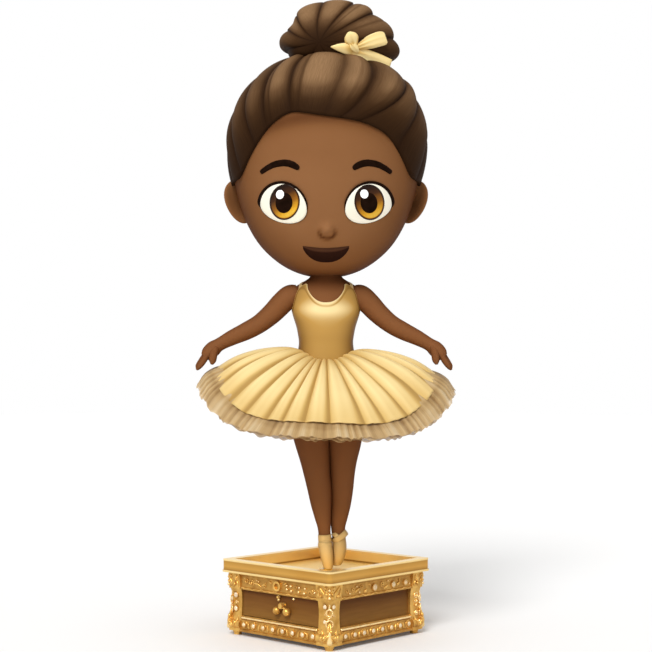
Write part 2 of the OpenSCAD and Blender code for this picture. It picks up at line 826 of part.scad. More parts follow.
// Satin bands wound round each ankle
module shoe_ribbons() {
  bands = [[-0.75, 0.58, 54, 3.1], [7.55, 4.53, 53.6, 3.05]];
  color(satin) on_figure() for (b = bands, tilt = [-12, 12])
    translate([b[0], b[1], b[2] + tilt / 9]) rotate([0, tilt, 0]) difference() {
      cylinder(r = b[3] + 0.9, h = 1.7, center = true);
      cylinder(r = b[3], h = 4, center = true);
    }
}

function trunk_w(z) = lookup(z, [[hip_z, 20.4], [132, 20.6], [142, 18.6], [152, 15.8], [162, 14.4],
  [170, 15.8], [178, 18.4], [184, 19.2], [189, 19.4], [192, 18.6], [194.4, 15.6], [196.4, 10.6],
  [neck_z, neck_r + 0.6]]);
function trunk_d(z) = lookup(z, [[hip_z, 13.4], [132, 13.8], [142, 12.8], [152, 11.4], [162, 10.4],
  [172, 12], [180, 12], [187, 10.4], [192, 9.2], [196.6, 8.8], [neck_z, neck_r + 0.6]]);
trunk_levels = [hip_z, 127, 132, 142, 152, 162, 170, 178, 184, 189, 192, 194.4, 196.4, neck_z];
function trunk_ring(z, grow, n = 32) = ring(0, 0, z, trunk_w(z) + grow, trunk_d(z) + grow, n);

module torso() {
  color(skin_tone) on_figure() {
    skin([for (z = trunk_levels) trunk_ring(z, 0)]);
    translate([0, 0, neck_z - 2]) cylinder(r = neck_r, h = 10);
  }
}

// Height of the leotard's top edge where the body's outline is at share s of its width
function neckline(s) = lookup(s, [[0, 184], [0.2, 184.5], [0.38, 187], [0.5, 190.6], [0.78, 190.6],
  [0.88, 185], [1, 180]]);

// Close-fitting leotard: a sleeve round the trunk and two shoulder straps
module leotard() {
  n = 48;
  rows = 9;
  cloth = 0.7;
  function top_z(j) = neckline(abs(cos(360 * j / n)));
  function wall(grow) = [for (i = [0:rows]) [for (j = [0:n-1])
    let (z = hip_z + (top_z(j) - hip_z) * i / rows)
    [(trunk_w(z) + grow) * cos(360 * j / n), (trunk_d(z) + grow) * sin(360 * j / n), z]]];
  color("#D9AE5E") on_figure() {
    loop_skin(concat(wall(cloth), reversed(wall(0.12))));
    for (side = [-1, 1]) strap(side * 12.2);
  }
}

// One strap lying over the shoulder at x
module strap(x) {
  function shoulder(z) = trunk_d(z) * sqrt(max(0, 1 - pow(x / max(trunk_w(z), abs(x)), 2)));
  levels = [189.6, 191.5, 193, 194.4, 195.4];
  front = [for (z = levels) [-shoulder(z) - 0.1, z]];
  back = [for (p = reversed(front)) [-p[0], p[1]]];
  line = concat(front, [[0, 195.9]], back);
  lift = [for (p = reversed(line)) [p[0] * 1.07, p[1] + 1]];
  translate([x - 2.4, 0, 0]) rotate([90, 0, 90]) linear_extrude(4.8) polygon(concat(line, lift));
}

// Arm and hand as one limb; rows are [x, y, z, thick, deep] from shoulder to fingertips
arm_path = [[15.5, 0, 189.6, 4.6, 5], [20, 0, 188, 6.1, 6], [24.8, 0, 183.6, 6.3, 6.2],
  [30.5, 0, 178, 5.8, 5.8],
  [37.8, -0.4, 172.2, 5, 5.2], [45.4, -1.4, 168.2, 4.6, 4.8], [53.6, -2.6, 164.4, 3.8, 4],
  [60.3, -3.4, 161, 2.9, 3.3], [64.5, -4, 158.2, 2.8, 4], [67.5, -4.2, 154.6, 2.6, 4.4],
  [69.8, -4.3, 151, 2.1, 4], [71.6, -4.3, 148, 1.4, 2.8], [72.3, -4.3, 146.6, 0.6, 1.2]];
thumb_path = [[62.6, -7, 158.4, 1.3, 1.2], [62.8, -8.2, 155.4, 1.3, 1.2], [62.6, -8.8, 152.4, 1.1, 1.1],
  [62.3, -9, 150.4, 0.6, 0.6]];

module arm(side) {
  color(skin_tone) on_figure() mirror([side < 0 ? 1 : 0, 0, 0]) {
    skin(limb_rings(arm_path));
    skin(limb_rings(thumb_path, 10));
  }
}

module left_arm() {
  arm(-1);
}

module right_arm() {
  arm(1);
}

// ---------- skirt ----------

// How far round to the front or back an angle lies, 0 at the sides
function facing(a) = let (s = abs(sin(a))) s * s * (3 - 2 * s);
function skirt_drop(a) = 20.3 + (sin(a) < 0 ? 24.2 : 19) * facing(a);
function skirt_z(r, a) = skirt_z0 - skirt_drop(a) * pow(r / 72, 3.2 - 2 * facing(a)) - 0.025 * r * cos(a);
function waist_r(a) = 1 / norm([cos(a) / (trunk_w(157) + 0.75), sin(a) / (trunk_d(157) + 0.75)]);

// A skirt layer: radial steps out to hem_r and back, lifted by rise and rippled by wave
module skirt(hem_r, rise, thick, n, steps, waves, wave) {
  function layer(up) = [for (i = [0:steps]) [for (j = [0:n-1])
    let (a = 360 * j / n, s = i / steps, r = waist_r(a) + (hem_r - waist_r(a)) * s)
    let (ripple = wave * pow(s, 2) * sin(waves * a))
    [r * cos(a), r * sin(a), skirt_z(r, a) + rise + up * thick / 2 + ripple]]];
  loop_skin(concat(layer(-1), reversed(layer(1))));
}

module tutu_overlay() {
  color(satin) on_figure() skirt(satin_r, 2.2, 0.7, 4 * pleats, 4, pleats, 1.1);
}

module tutu_net() {
  color(net_tone) on_figure() skirt(net_r, 0, 0.8, 96, 4, 24, 0.25);
}

// ---------- head ----------

// Outline of a rounded form about head_z, from the bottom up, as [radius, z] pairs
function lobe(a, up, down, power, from, steps) = [for (i = [0:steps])
  let (t = from + (90 - from) * i / steps)
  [a * pow(abs(cos(t)), 2 / power), head_z + (t < 0 ? -down : up) * pow(abs(sin(t)), 2 / power)]];

function head_width(z, grow = 0) =
  let (reach = (z < head_z ? head_down : head_up) + grow)
  (head_r + grow) * pow(1 - pow(abs(z - head_z) / reach, head_power), 1 / head_power);

module head_form(grow) {
  outline = lobe(head_r + grow, head_up + grow, head_down + grow, head_power, -86, 30);
  rotate_extrude($fn = 64) polygon(concat([[0, outline[0][1]]], outline));
}

// Hollow head with ears and a button nose, open at the neck
module head() {
  color(skin_tone) on_figure() difference() {
    union() {
      head_form(0);
      for (side = [-1, 1]) ear(side);
      translate([0, -head_width(220) + 1.2, 220]) sphere(r = 4.6);
    }
    head_form(-head_wall);
    cylinder(r = neck_r + 0.03, h = head_z - 30);
    for (side = [-1, 1]) eye_frame(side) translate([0, 0, eye_seat]) linear_extrude(9) {
      almond(0);
      lash(side);
    }
    mouth_cut();
  }
}

module ear(side) {
  translate([side * 48.6, 0, 241.5]) rotate([0, 0, side > 0 ? -12 : 192]) rotate([90, 0, 0])
    difference() {
      hull() {
        translate([0.6, 5, 0]) cylinder(r = 6.4, h = 3.4, center = true, $fn = 32);
        translate([-1.4, -7, 0]) cylinder(r = 4, h = 3.4, center = true, $fn = 32);
      }
      translate([1.4, 4.6, 0.9]) cylinder(r = 3.6, h = 4, $fn = 24);
    }
}

// Stands its child on the face at an eye, looking straight out
module eye_frame(side) {
  r = head_width(eye_z);
  turn = asin(eye_x / r);
  rotate([0, 0, side * turn]) translate([0, -r, eye_z]) rotate([90 + 9, 0, 0]) children();
}

// Pointed oval of the open eye
module almond(grow) {
  n = 28;
  polygon([for (j = [0:n-1]) let (a = 360 * j / n)
    [(eye_w + grow) * cos(a), (eye_h + grow) * sin(a) * (0.86 + 0.14 * abs(sin(a)))]]);
}

// A slice of the eye's domed front, standing out by lift
module eye_dome(lift) {
  translate([0, 0, 1.1 - ball_r]) sphere(r = ball_r + lift, $fn = 160);
}

module eye_whites() {
  color("#FBEBC8") on_figure() for (side = [-1, 1]) eye_frame(side) difference() {
    intersection() {
      translate([0, 0, eye_seat]) linear_extrude(6) almond(0);
      eye_dome(0);
    }
    translate([side * iris_in, iris_up, -0.6]) cylinder(r = iris_r, h = 9);
  }
}

module irises() {
  color("#B4691E") on_figure() for (side = [-1, 1]) eye_frame(side) difference() {
    intersection() {
      translate([side * iris_in, iris_up, -0.6]) cylinder(r = iris_r, h = 9);
      eye_dome(0.25);
    }
    translate([side * iris_in, iris_up, 0]) cylinder(r = pupil_r, h = 9);
  }
}

module pupils() {
  color("#26120B") on_figure() for (side = [-1, 1]) eye_frame(side) intersection() {
    translate([side * iris_in, iris_up, 0]) cylinder(r = pupil_r, h = 9);
    eye_dome(0.4);
  }
}

// Layer of even thickness on the face, kept to the front
module face_layer(thick) {
  difference() {
    head_form(thick);
    head_form(0);
    translate([-rim_w, 0, 0]) cube([2 * rim_w, rim_w, 400]);
  }
}

// Stands a flat drawing up in front of the face
module on_face(x, z) {
  translate([x, -10, z]) rotate([90, 0, 0]) linear_extrude(70) children();
}

module eyebrows() {
  color("#1E120C") on_figure() intersection() {
    face_layer(0.8);
    for (side = [-1, 1]) on_face(side * 24.3, 250) brow(side);
  }
}

// Arched brow, thick over its middle and fine at the ends
module brow(side) {
  n = 12;
  function arch(t) = 5.4 - 3.1 * t * t;
  function fat(t) = 1.8 * pow(1 - t * t, 0.5);
  polygon(concat(
    [for (i = [0:n]) let (t = 2 * i / n - 1) [side * 9.6 * t, arch(t) + fat(t)]],
    [for (i = [n-1:-1:1]) let (t = 2 * i / n - 1) [side * 9.6 * t, arch(t) - fat(t)]]
  ));
}

// Dark lash line along the upper lid, thickest at the outer corner
module lash_lines() {
  color("#1E120C") on_figure() for (side = [-1, 1]) eye_frame(side) intersection() {
    translate([0, 0, eye_seat]) linear_extrude(6) lash(side);
    eye_dome(0.5);
  }
}

module lash(side) {
  difference() {
    translate([side * 0.5, 0.6]) almond(1);
    almond(0);
    translate([-20, -24]) square([40, 23]);
  }
}

// Open smile: a little bowed along the top and deep below, drawn in by a gap all round
module mouth_2d(gap) {
  n = 16;
  polygon([for (i = [0:n]) let (a = 180 + 180 * i / n) [(12.6 - gap) * cos(a), (8.5 - gap) * sin(a)],
    [6, -0.9 - gap], [0, -1.5 - gap], [-6, -0.9 - gap]]);
}

module mouth_cut() {
  intersection() {
    on_face(0, mouth_z) mouth_2d(0);
    difference() {
      head_form(9);
      head_form(-1.5);
    }
  }
}

module mouth() {
  color("#3A160F") on_figure() intersection() {
    on_face(0, mouth_z) mouth_2d(0.03);
    difference() {
      head_form(-0.6);
      head_form(-1.45);
    }
    translate([-rim_w, -rim_w, 0]) cube([2 * rim_w, rim_w, 400]);
  }
}

// ---------- hair ----------

// Height of the hair's edge at a compass angle from the face's middle, right side positive
function hairline(a) = lookup(a, [[-180, 219], [-140, 222], [-112, 232], [-98, 252], [-74, 253], [-50, 262],
  [-35, 276], [-22, 283], [-3, 280], [22, 277], [38, 272], [50, 262.5], [69, 253], [98, 252], [112, 232],
  [140, 222], [180, 219]]);

// Compass angle at which a strand that starts at angle b reaches the bun, and how its sweep is paced
function strand_end(b) = lookup(b, [[-180, -180], [-110, -155], [-78, -138], [-60, -124], [-45, -100],
  [-36, -62], [-21, -33], [-1, 30], [8, 62], [19, 136], [46, 168], [96, 174], [180, 180]]);
function pace(b) = lookup(b, [[-1, 1], [8, 0.75], [19, 0.83], [46, 1.2], [96, 1]]);

// Angle up the head's outline at which it reaches height z
function rise_of(z) = z < head_z
  ? -asin(pow((head_z - z) / head_down, head_power / 2))
  : asin(pow((z - head_z) / head_up, head_power / 2));

// Point on a swollen copy of the head at outline angle t and compass angle a
function scalp(t, a, grow) =
  let (r = (head_r + grow) * pow(abs(cos(t)), 2 / head_power))
  let (z = (t < 0 ? -(head_down + grow) : head_up + grow) * pow(abs(sin(t)), 2 / head_power))
  [r * sin(a), -r * cos(a), head_z + z];

// Rolled strands run between these grooves, given by their angles at the hairline
grooves = [-180, -150, -122, -98, -78, -60, -45, -36, -21, -1, 8, 19, 46, 70, 96, 124, 152, 180];

// Hair drawn up from the hairline in rolled strands that sweep round to the bun
module hair_cap() {
  n = 4 * (len(grooves) - 1);
  rows = 9;
  crown = 84;
  core_z = 262;
  top_z = head_z + head_up + hair_out - 0.1;
  seat = 0.25;
  starts = [for (j = [0:n-1])
    let (k = floor(j / 4)) grooves[k] + (grooves[k + 1] - grooves[k]) * (j % 4) / 4];
  function sweep(b, v) = b + (strand_end(b) - b) * pow(v, pace(b));
  function along(b, v) = let (low = rise_of(hairline(b))) low + (crown - low) * v;
  function swell(j, v) = 1.1 + (hair_out - 1.1) * pow(sin(90 * min(1, v * 3 + 0.12)), 0.8)
    * (0.3 + 0.7 * pow(sin(45 * (j % 4)), 0.7));
  function row(v) = [for (j = [0:n-1]) let (b = starts[j]) scalp(along(b, v), sweep(b, v), swell(j, v))];
  core = [for (b = starts) [sin(b), -cos(b), core_z]];
  edge = [for (b = starts) scalp(along(b, 0), b, -1)];
  top = [for (b = starts) [sin(sweep(b, 1)), -cos(sweep(b, 1)), top_z]];
  color(hair_tone) on_figure() difference() {
    skin(concat([core, edge], [for (i = [0:rows]) row(i / rows)], [top]));
    head_form(seat);
  }
}

// Smooth form that the bun and bow are seated against
module crown_form() {
  outline = lobe(head_r + hair_out, head_up + hair_out, 1, head_power, 0, 18);
  rotate_extrude($fn = 64) polygon(concat([[0, head_z]], outline));
}

// Bun of wound strands that fan out from a point low on its front
module hair_bun() {
  fan = [104, 72, 44, -4, -45, -80, -115, -155, -200, -224, -256];
  n = 4 * (len(fan) - 1);
  rows = 12;
  function turned(j) = let (k = floor(j / 4)) fan[k] + (fan[k + 1] - fan[k]) * (j % 4) / 4;
  function swell(j) = (0.89 + 0.11 * pow(sin(45 * (j % 4)), 0.7))
    * (1 + 0.17 * exp(-pow((turned(j) + 26) / 22, 2)));
  function level(i) = let (t = -84 + 168 * i / rows, shift = pow(max(0, -sin(t)), 2))
    [for (j = [0:n-1]) let (r = swell(j) * cos(t)) [
      bun_x - 10 * shift + 32.5 * r * cos(turned(j)),
      2 + 27 * sin(t),
      bun_z - 9 * shift + 21 * r * sin(turned(j))]];
  color(hair_tone) on_figure() difference() {
    skin([for (i = [0:rows]) level(i)]);
    crown_form();
  }
}

// Satin bow pinned where the bun meets the hair: two loops, two tails and a knot
module bow() {
  left_loop = [[13.3, -25.6, 331.4, 1.3, 0.8], [13.6, -25.3, 329.4, 3.2, 1.6], [14.5, -24.2, 326.6, 3.7, 2],
    [15.5, -22.3, 323.4, 2.4, 2]];
  right_loop = [[16.4, -21, 322.4, 1.6, 1.6], [21, -20.8, 324.4, 2.9, 2.1], [25.6, -18.8, 326.6, 3.7, 2.1],
    [30, -16, 328.2, 3.7, 1.7], [33, -13.6, 328.8, 2.9, 1.2], [34.2, -12.8, 329, 1.2, 0.6]];
  left_tail = [[2.4, -22, 323.4, 0.5, 0.4], [5.4, -22.6, 323, 1.5, 0.9], [9.4, -22.4, 322.5, 2.5, 1.3],
    [15, -21, 321.6, 2.8, 1.6]];
  right_tail = [[14.6, -20.8, 320.8, 2.4, 1.6], [22, -17.4, 319, 3.1, 1.3], [29, -13, 316.8, 2.9, 1.1],
    [35.4, -9.2, 314.2, 2.5, 0.9]];
  color("#F5DFA0") on_figure() {
    for (path = [left_loop, right_loop, left_tail, right_tail]) skin(limb_rings(path, 12));
    translate([16, -21.4, 322.4]) sphere(r = 2.5, $fn = 24);
  }
}

top_rim();
top_deck();
deck_bush();
corner_posts();
frieze_rails();
plinth_rails();
side_panels();
floor_panel();
partition();
feet();
drawer_front();
drawer_tray();
pull_post();
pull_drop();
frieze_ring();
bead_hook();
bead_drop();
stone_settings();
stones();
leaf_drops();
bedplate();
movement_screws();
spring_barrel();
mainspring();
winding_arbor();
winding_key();
ratchet_wheel();
click_spring();
barrel_bridge();
figure_gear();
figure_shaft();
pinned_cylinder();
cylinder_arbor();
comb();
cylinder_bracket();
governor_frame();
governor_arbor();
fly_worm();
fly_vane();
left_leg();
right_leg();
left_shoe();
right_shoe();
shoe_ribbons();
torso();
leotard();
left_arm();
right_arm();
tutu_overlay();
tutu_net();
head();
hair_cap();
hair_bun();
bow();
eye_whites();
irises();
pupils();
eyebrows();
lash_lines();
mouth();
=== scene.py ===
import math

import bmesh
import bpy
import numpy as np
from mathutils import Matrix, Vector


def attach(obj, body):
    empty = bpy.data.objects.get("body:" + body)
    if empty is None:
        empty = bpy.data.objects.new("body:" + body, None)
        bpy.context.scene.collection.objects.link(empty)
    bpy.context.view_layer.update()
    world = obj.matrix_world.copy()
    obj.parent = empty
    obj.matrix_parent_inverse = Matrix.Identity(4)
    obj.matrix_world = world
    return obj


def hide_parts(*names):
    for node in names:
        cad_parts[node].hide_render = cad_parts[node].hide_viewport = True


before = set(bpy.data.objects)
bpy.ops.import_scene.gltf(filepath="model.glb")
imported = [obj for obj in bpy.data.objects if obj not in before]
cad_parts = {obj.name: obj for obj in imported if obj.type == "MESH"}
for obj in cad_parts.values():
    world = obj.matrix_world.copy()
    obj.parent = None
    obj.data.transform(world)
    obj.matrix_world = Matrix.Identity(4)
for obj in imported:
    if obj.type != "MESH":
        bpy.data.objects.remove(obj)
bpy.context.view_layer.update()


# ---------------------------------------------------------------- gilded carcass
# Rim, rails, posts, feet, deck and fittings are brass castings, soldered together, gilded and
# burnished. All gilding is a little mottled; on the rim, bright painted highlights on the lips run
# into brown painted shade in the hollow between them.
def new_material(name, roughness, metallic=0.0, coat=0.0, sheen=0.0, specular=0.5):
    material = bpy.data.materials.new(name)
    material.use_nodes = True
    shader = material.node_tree.nodes["Principled BSDF"]
    shader.inputs["Roughness"].default_value = roughness
    shader.inputs["Metallic"].default_value = metallic
    shader.inputs["Coat Weight"].default_value = coat
    shader.inputs["Coat Roughness"].default_value = 0.12
    shader.inputs["Sheen Weight"].default_value = sheen
    shader.inputs["Specular IOR Level"].default_value = specular
    return material, material.node_tree, shader


def ramp(tree, source, stops):
    """Colours along a value; each stop is a place and a colour."""
    made = tree.nodes.new("ShaderNodeValToRGB")
    while len(made.color_ramp.elements) < len(stops):
        made.color_ramp.elements.new(0.5)
    for element, (place, colour) in zip(made.color_ramp.elements, stops):
        element.position = place
        element.color = (*colour, 1)
    tree.links.new(source, made.inputs["Fac"])
    return made.outputs["Color"]


def mixed(tree, factor, first, second, blend="MIX"):
    """Two colours mixed by a factor, which is a socket or a number."""
    made = tree.nodes.new("ShaderNodeMix")
    made.data_type = "RGBA"
    made.blend_type = blend
    if isinstance(factor, float):
        made.inputs["Factor"].default_value = factor
    else:
        tree.links.new(factor, made.inputs["Factor"])
    for source, letter in ((first, "A"), (second, "B")):
        tree.links.new(source, [i for i in made.inputs if i.name == letter and i.type == "RGBA"][0])
    return [o for o in made.outputs if o.type == "RGBA"][0]


def bump(tree, shader, height, strength, distance=0.0001):
    made = tree.nodes.new("ShaderNodeBump")
    made.inputs["Strength"].default_value = strength
    made.inputs["Distance"].default_value = distance
    tree.links.new(height, made.inputs["Height"])
    tree.links.new(made.outputs["Normal"], shader.inputs["Normal"])


def shader_group(name, takes, gives):
    """An empty node group with its named sockets, its way in and its way out."""
    group = bpy.data.node_groups.new(name, "ShaderNodeTree")
    for side, sockets in (("INPUT", takes), ("OUTPUT", gives)):
        for label, kind in sockets.items():
            group.interface.new_socket(label, in_out=side, socket_type="NodeSocket" + kind)
    return group, group.nodes.new("NodeGroupInput"), group.nodes.new("NodeGroupOutput")


# Mottling: a soft cloud from Deep to Light over a Base colour, with the cloud itself as Height.
mottling, way_in, way_out = shader_group(
    "mottling",
    {"Place": "Vector", "Stretch": "Vector", "Scale": "Float", "Detail": "Float",
     "Deep": "Color", "Light": "Color", "Base": "Color"},
    {"Colour": "Color", "Height": "Float"})
stretched = mottling.nodes.new("ShaderNodeMapping")
cloud = mottling.nodes.new("ShaderNodeTexNoise")
spread = mottling.nodes.new("ShaderNodeMapRange")
spread.inputs["From Min"].default_value = 0.3
spread.inputs["From Max"].default_value = 0.7
mottling.links.new(way_in.outputs["Place"], stretched.inputs["Vector"])
mottling.links.new(way_in.outputs["Stretch"], stretched.inputs["Scale"])
mottling.links.new(stretched.outputs["Vector"], cloud.inputs["Vector"])
mottling.links.new(way_in.outputs["Scale"], cloud.inputs["Scale"])
mottling.links.new(way_in.outputs["Detail"], cloud.inputs["Detail"])
mottling.links.new(cloud.outputs["Fac"], spread.inputs["Value"])
tones = mixed(mottling, spread.outputs["Result"], way_in.outputs["Deep"], way_in.outputs["Light"])
over_base = mixed(mottling, 1.0, tones, way_in.outputs["Base"], "MULTIPLY")
mottling.links.new(over_base, way_out.inputs["Colour"])
mottling.links.new(cloud.outputs["Fac"], way_out.inputs["Height"])


def place_mottling(tree, scale, detail, stretch, place):
    made = tree.nodes.new("ShaderNodeGroup")
    made.node_tree = mottling
    made.inputs["Scale"].default_value = scale
    made.inputs["Detail"].default_value = detail
    made.inputs["Stretch"].default_value = stretch
    where = tree.nodes.new("ShaderNodeTexCoord")
    tree.links.new(where.outputs[place], made.inputs["Place"])
    return made


def grain(tree, scale, detail=2.0, stretch=(1, 1, 1), place="Object"):
    """The height of a mottling alone, for bump or for a ramp of its own."""
    return place_mottling(tree, scale, detail, stretch, place).outputs["Height"]


def mottled(tree, shader, scale, detail, deep, light, base=None, stretch=(1, 1, 1), place="Object"):
    """Base Color mottled from deep to light, over a base if there is one; gives the height."""
    made = place_mottling(tree, scale, detail, stretch, place)
    made.inputs["Deep"].default_value = (*deep, 1)
    made.inputs["Light"].default_value = (*light, 1)
    made.inputs["Base"].default_value = (1, 1, 1, 1)
    if base is not None:
        tree.links.new(base, made.inputs["Base"])
    tree.links.new(made.outputs["Colour"], shader.inputs["Base Color"])
    return made.outputs["Height"]


# Rise: height on the piece as a share, 0 at Low and 1 at High, in metres.
rise, way_in, way_out = shader_group(
    "rise", {"Place": "Vector", "Low": "Float", "High": "Float"}, {"Share": "Float"})
split = rise.nodes.new("ShaderNodeSeparateXYZ")
spread = rise.nodes.new("ShaderNodeMapRange")
rise.links.new(way_in.outputs["Place"], split.inputs["Vector"])
rise.links.new(split.outputs["Z"], spread.inputs["Value"])
rise.links.new(way_in.outputs["Low"], spread.inputs["From Min"])
rise.links.new(way_in.outputs["High"], spread.inputs["From Max"])
rise.links.new(spread.outputs["Result"], way_out.inputs["Share"])


def height_between(tree, low, high):
    made = tree.nodes.new("ShaderNodeGroup")
    made.node_tree = rise
    made.inputs["Low"].default_value = low
    made.inputs["High"].default_value = high
    where = tree.nodes.new("ShaderNodeTexCoord")
    tree.links.new(where.outputs["Object"], made.inputs["Place"])
    return made.outputs["Share"]


def nearer_than(tree, reach):
    """1 where the piece is nearer its middle than reach in both plan directions, else 0."""
    def reckon(operation, *sources):
        made = tree.nodes.new("ShaderNodeMath")
        made.operation = operation
        for i, source in enumerate(sources):
            if isinstance(source, float):
                made.inputs[i].default_value = source
            else:
                tree.links.new(source, made.inputs[i])
        return made.outputs["Value"]

    where = tree.nodes.new("ShaderNodeTexCoord")
    split = tree.nodes.new("ShaderNodeSeparateXYZ")
    tree.links.new(where.outputs["Object"], split.inputs["Vector"])
    across, along = (reckon("ABSOLUTE", split.outputs[axis]) for axis in "XY")
    return reckon("LESS_THAN", reckon("MAXIMUM", across, along), reach)


def gilt(name, light, deep, roughness, speckle, painted_light=None):
    """Gilding: mottled gold, over bands of painted highlight and shade where the moulding has them."""
    material, tree, shader = new_material(name, roughness, metallic=0.72, specular=0.3)
    mottled(tree, shader, speckle, 3.0, deep, light, painted_light(tree) if painted_light else None)
    bump(tree, shader, grain(tree, speckle * 7), 0.06, 0.0002)
    return material


def rim_painted_light(tree):
    """Painted light on the rim by height: painted highlights on its lips, painted shade in the hollow band of
    its outer face and low on the wall inside its lip.
    """
    rim_foot, rim_top, lip_reach = 0.0345, 0.0415, 0.0364
    height = height_between(tree, rim_foot, rim_top)
    bare = (1.0, 1.0, 1.0)
    outer = ramp(tree, height, [(0.0, (0.92, 0.90, 0.84)), (0.14, (0.98, 0.96, 0.92)),
                                (0.17, (0.42, 0.28, 0.12)), (0.45, (0.68, 0.48, 0.22)),
                                (0.84, (0.54, 0.37, 0.16)), (0.90, bare), (1.0, bare)])
    inner = ramp(tree, height, [(0.10, (0.34, 0.24, 0.13)), (0.20, (0.40, 0.29, 0.16)),
                                (0.27, (1.0, 0.96, 0.86)), (1.0, bare)])
    return mixed(tree, nearer_than(tree, lip_reach), outer, inner)


def dress(material, *names):
    for name in names:
        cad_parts[name].data.materials.clear()
        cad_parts[name].data.materials.append(material)


dress(gilt("rim_gilt", (1.0, 0.77, 0.36), (0.94, 0.68, 0.28), 0.30, 40, rim_painted_light), "top_rim")
# The rails' gilt is painted darker than the posts': painted shade on the frieze, which lies back under the
# rim; the plinth rails take it too.
dress(gilt("shaded_rail_gilt", (0.60, 0.33, 0.075), (0.38, 0.18, 0.034), 0.40, 230),
      "frieze_rails", "plinth_rails")
dress(gilt("post_gilt", (0.82, 0.50, 0.13), (0.50, 0.25, 0.045), 0.36, 170),
      "corner_posts", "feet", "stone_settings", "frieze_ring", "pull_post", "bead_hook", "pull_drop")
dress(gilt("pale_gilt", (0.98, 0.76, 0.38), (0.84, 0.56, 0.20), 0.28, 120), "leaf_drops", "bead_drop")
dress(gilt("deck_gilt", (1.0, 0.73, 0.26), (0.95, 0.62, 0.18), 0.42, 22), "top_deck")


# ---------------------------------------------------------------- lacquered panels and drawer
# Panels, floor and partition are thin straight-grained wood fixed between the posts and rails, and
# the drawer is made of the same. A satin brown lacquer lets the grain show; its colour is painted
# darker towards the top, as painted shade under the frieze.
panel_foot, panel_top = 0.011, 0.0256
lacquer_material, tree, shader = new_material("panel_lacquer", 0.42, specular=0.07)
lacquer_and_shade = ramp(tree, height_between(tree, panel_foot, panel_top),
               [(0.0, (0.262, 0.126, 0.026)), (0.45, (0.215, 0.092, 0.020)), (1.0, (0.135, 0.046, 0.010))])
wood = mottled(tree, shader, 70, 4.0, (0.86, 0.84, 0.80), (1.0, 1.0, 1.0), lacquer_and_shade, stretch=(1, 1, 12))
bump(tree, shader, wood, 0.05)
dress(lacquer_material, "side_panels", "drawer_front", "floor_panel", "partition", "drawer_tray")


# ---------------------------------------------------------------- musical movement
# Barrel, bridge, gears, cylinder, bush and key are brass; bedplate, shaft, ratchet, comb, frame,
# worm and springs are brushed steel. It is screwed together out of sight behind the drawer.
def worked_metal(name, roughness, scale, stretch, deep, light):
    material, tree, shader = new_material(name, roughness, metallic=1.0)
    bump(tree, shader, mottled(tree, shader, scale, 2.0, deep, light, stretch=stretch), 0.05)
    return material


dress(worked_metal("turned_brass", 0.27, 400, (1, 1, 6), (0.62, 0.40, 0.10), (0.78, 0.54, 0.18)),
      "deck_bush", "spring_barrel", "winding_key", "barrel_bridge", "figure_gear", "pinned_cylinder",
      "cylinder_arbor", "governor_arbor", "fly_vane")
dress(worked_metal("brushed_steel", 0.30, 500, (8, 1, 1), (0.42, 0.44, 0.46), (0.62, 0.63, 0.64)),
      "bedplate", "movement_screws", "winding_arbor", "ratchet_wheel", "click_spring", "figure_shaft",
      "comb", "cylinder_bracket", "governor_frame", "fly_worm", "mainspring")


# ---------------------------------------------------------------- stones
# Round cut stones of cream and honey glass, polished on the face and pressed into their gilded
# settings on the casket.
stone_material, tree, shader = new_material("cut_stone", 0.16, coat=0.12)
tint = ramp(tree, grain(tree, 55, 1.0),
            [(0.35, (0.84, 0.60, 0.32)), (0.5, (0.92, 0.76, 0.50)), (0.65, (0.72, 0.57, 0.38))])
tree.links.new(tint, shader.inputs["Base Color"])
dress(stone_material, "stones")


# ---------------------------------------------------------------- frieze ornament
# Scrolls, leaves and seed beads in gilt brass, cast with the frieze rails between the corner
# blocks. On each side u runs along it, w is height and out is reach from the middle, in mm.
def make_piece(name, points, faces, material, body, replaced=(), turn=0.0, uv=None, shade=None):
    """A smooth piece from points in mm, turned about the upright axis and set on its body."""
    points = np.array(points, dtype=float) * 0.001
    if turn:
        c, s = math.cos(turn), math.sin(turn)
        points = points @ np.array([[c, s, 0], [-s, c, 0], [0, 0, 1]])
    mesh = bpy.data.meshes.new(name)
    mesh.from_pydata([tuple(p) for p in points], [], faces)
    outward = bmesh.new()
    outward.from_mesh(mesh)
    bmesh.ops.recalc_face_normals(outward, faces=outward.faces)
    outward.to_mesh(mesh)
    outward.free()
    mesh.polygons.foreach_set("use_smooth", [True] * len(mesh.polygons))
    if uv is not None:
        layer = mesh.uv_layers.new(name="UVMap")
        corner = np.empty(len(mesh.loops), dtype=np.int32)
        mesh.loops.foreach_get("vertex_index", corner)
        layer.data.foreach_set("uv", np.asarray(uv, dtype=np.float32)[corner].ravel())
    if shade is not None:
        layer = mesh.attributes.new("shade", "FLOAT", "POINT")
        layer.data.foreach_set("value", np.asarray(shade, dtype=np.float32).ravel())
    mesh.update()
    piece = bpy.data.objects.new(name, mesh)
    bpy.context.collection.objects.link(piece)
    piece.data.materials.append(material)
    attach(piece, body)
    if replaced:
        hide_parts(*replaced)
    return piece


def grid_faces(rows, columns, wrap=True):
    faces = []
    for i in range(rows - 1):
        for j in range(columns if wrap else columns - 1):
            a, b = i * columns + j, i * columns + (j + 1) % columns
            c, d = (i + 1) * columns + (j + 1) % columns, (i + 1) * columns + j
            faces.append((a, b, c, d))
    return faces


def closed_faces(rows, columns):
    """Faces over rings of points, with the first and the last ring filled in."""
    first = tuple(reversed(range(columns)))
    last = tuple(range((rows - 1) * columns, rows * columns))
    return grid_faces(rows, columns) + [first, last]


def around(count):
    """Even turns of angle round a ring."""
    return [2 * math.pi * j / count for j in range(count)]


def either_side(path, i):
    """The places before and after a place on a path, or itself at an end."""
    return path[max(i - 1, 0)], path[min(i + 1, len(path) - 1)]


def on_side(k, u, w, out):
    c, s = (1, 0, -1, 0)[k], (0, 1, 0, -1)[k]
    return (u * c + out * s, u * s - out * c, w)


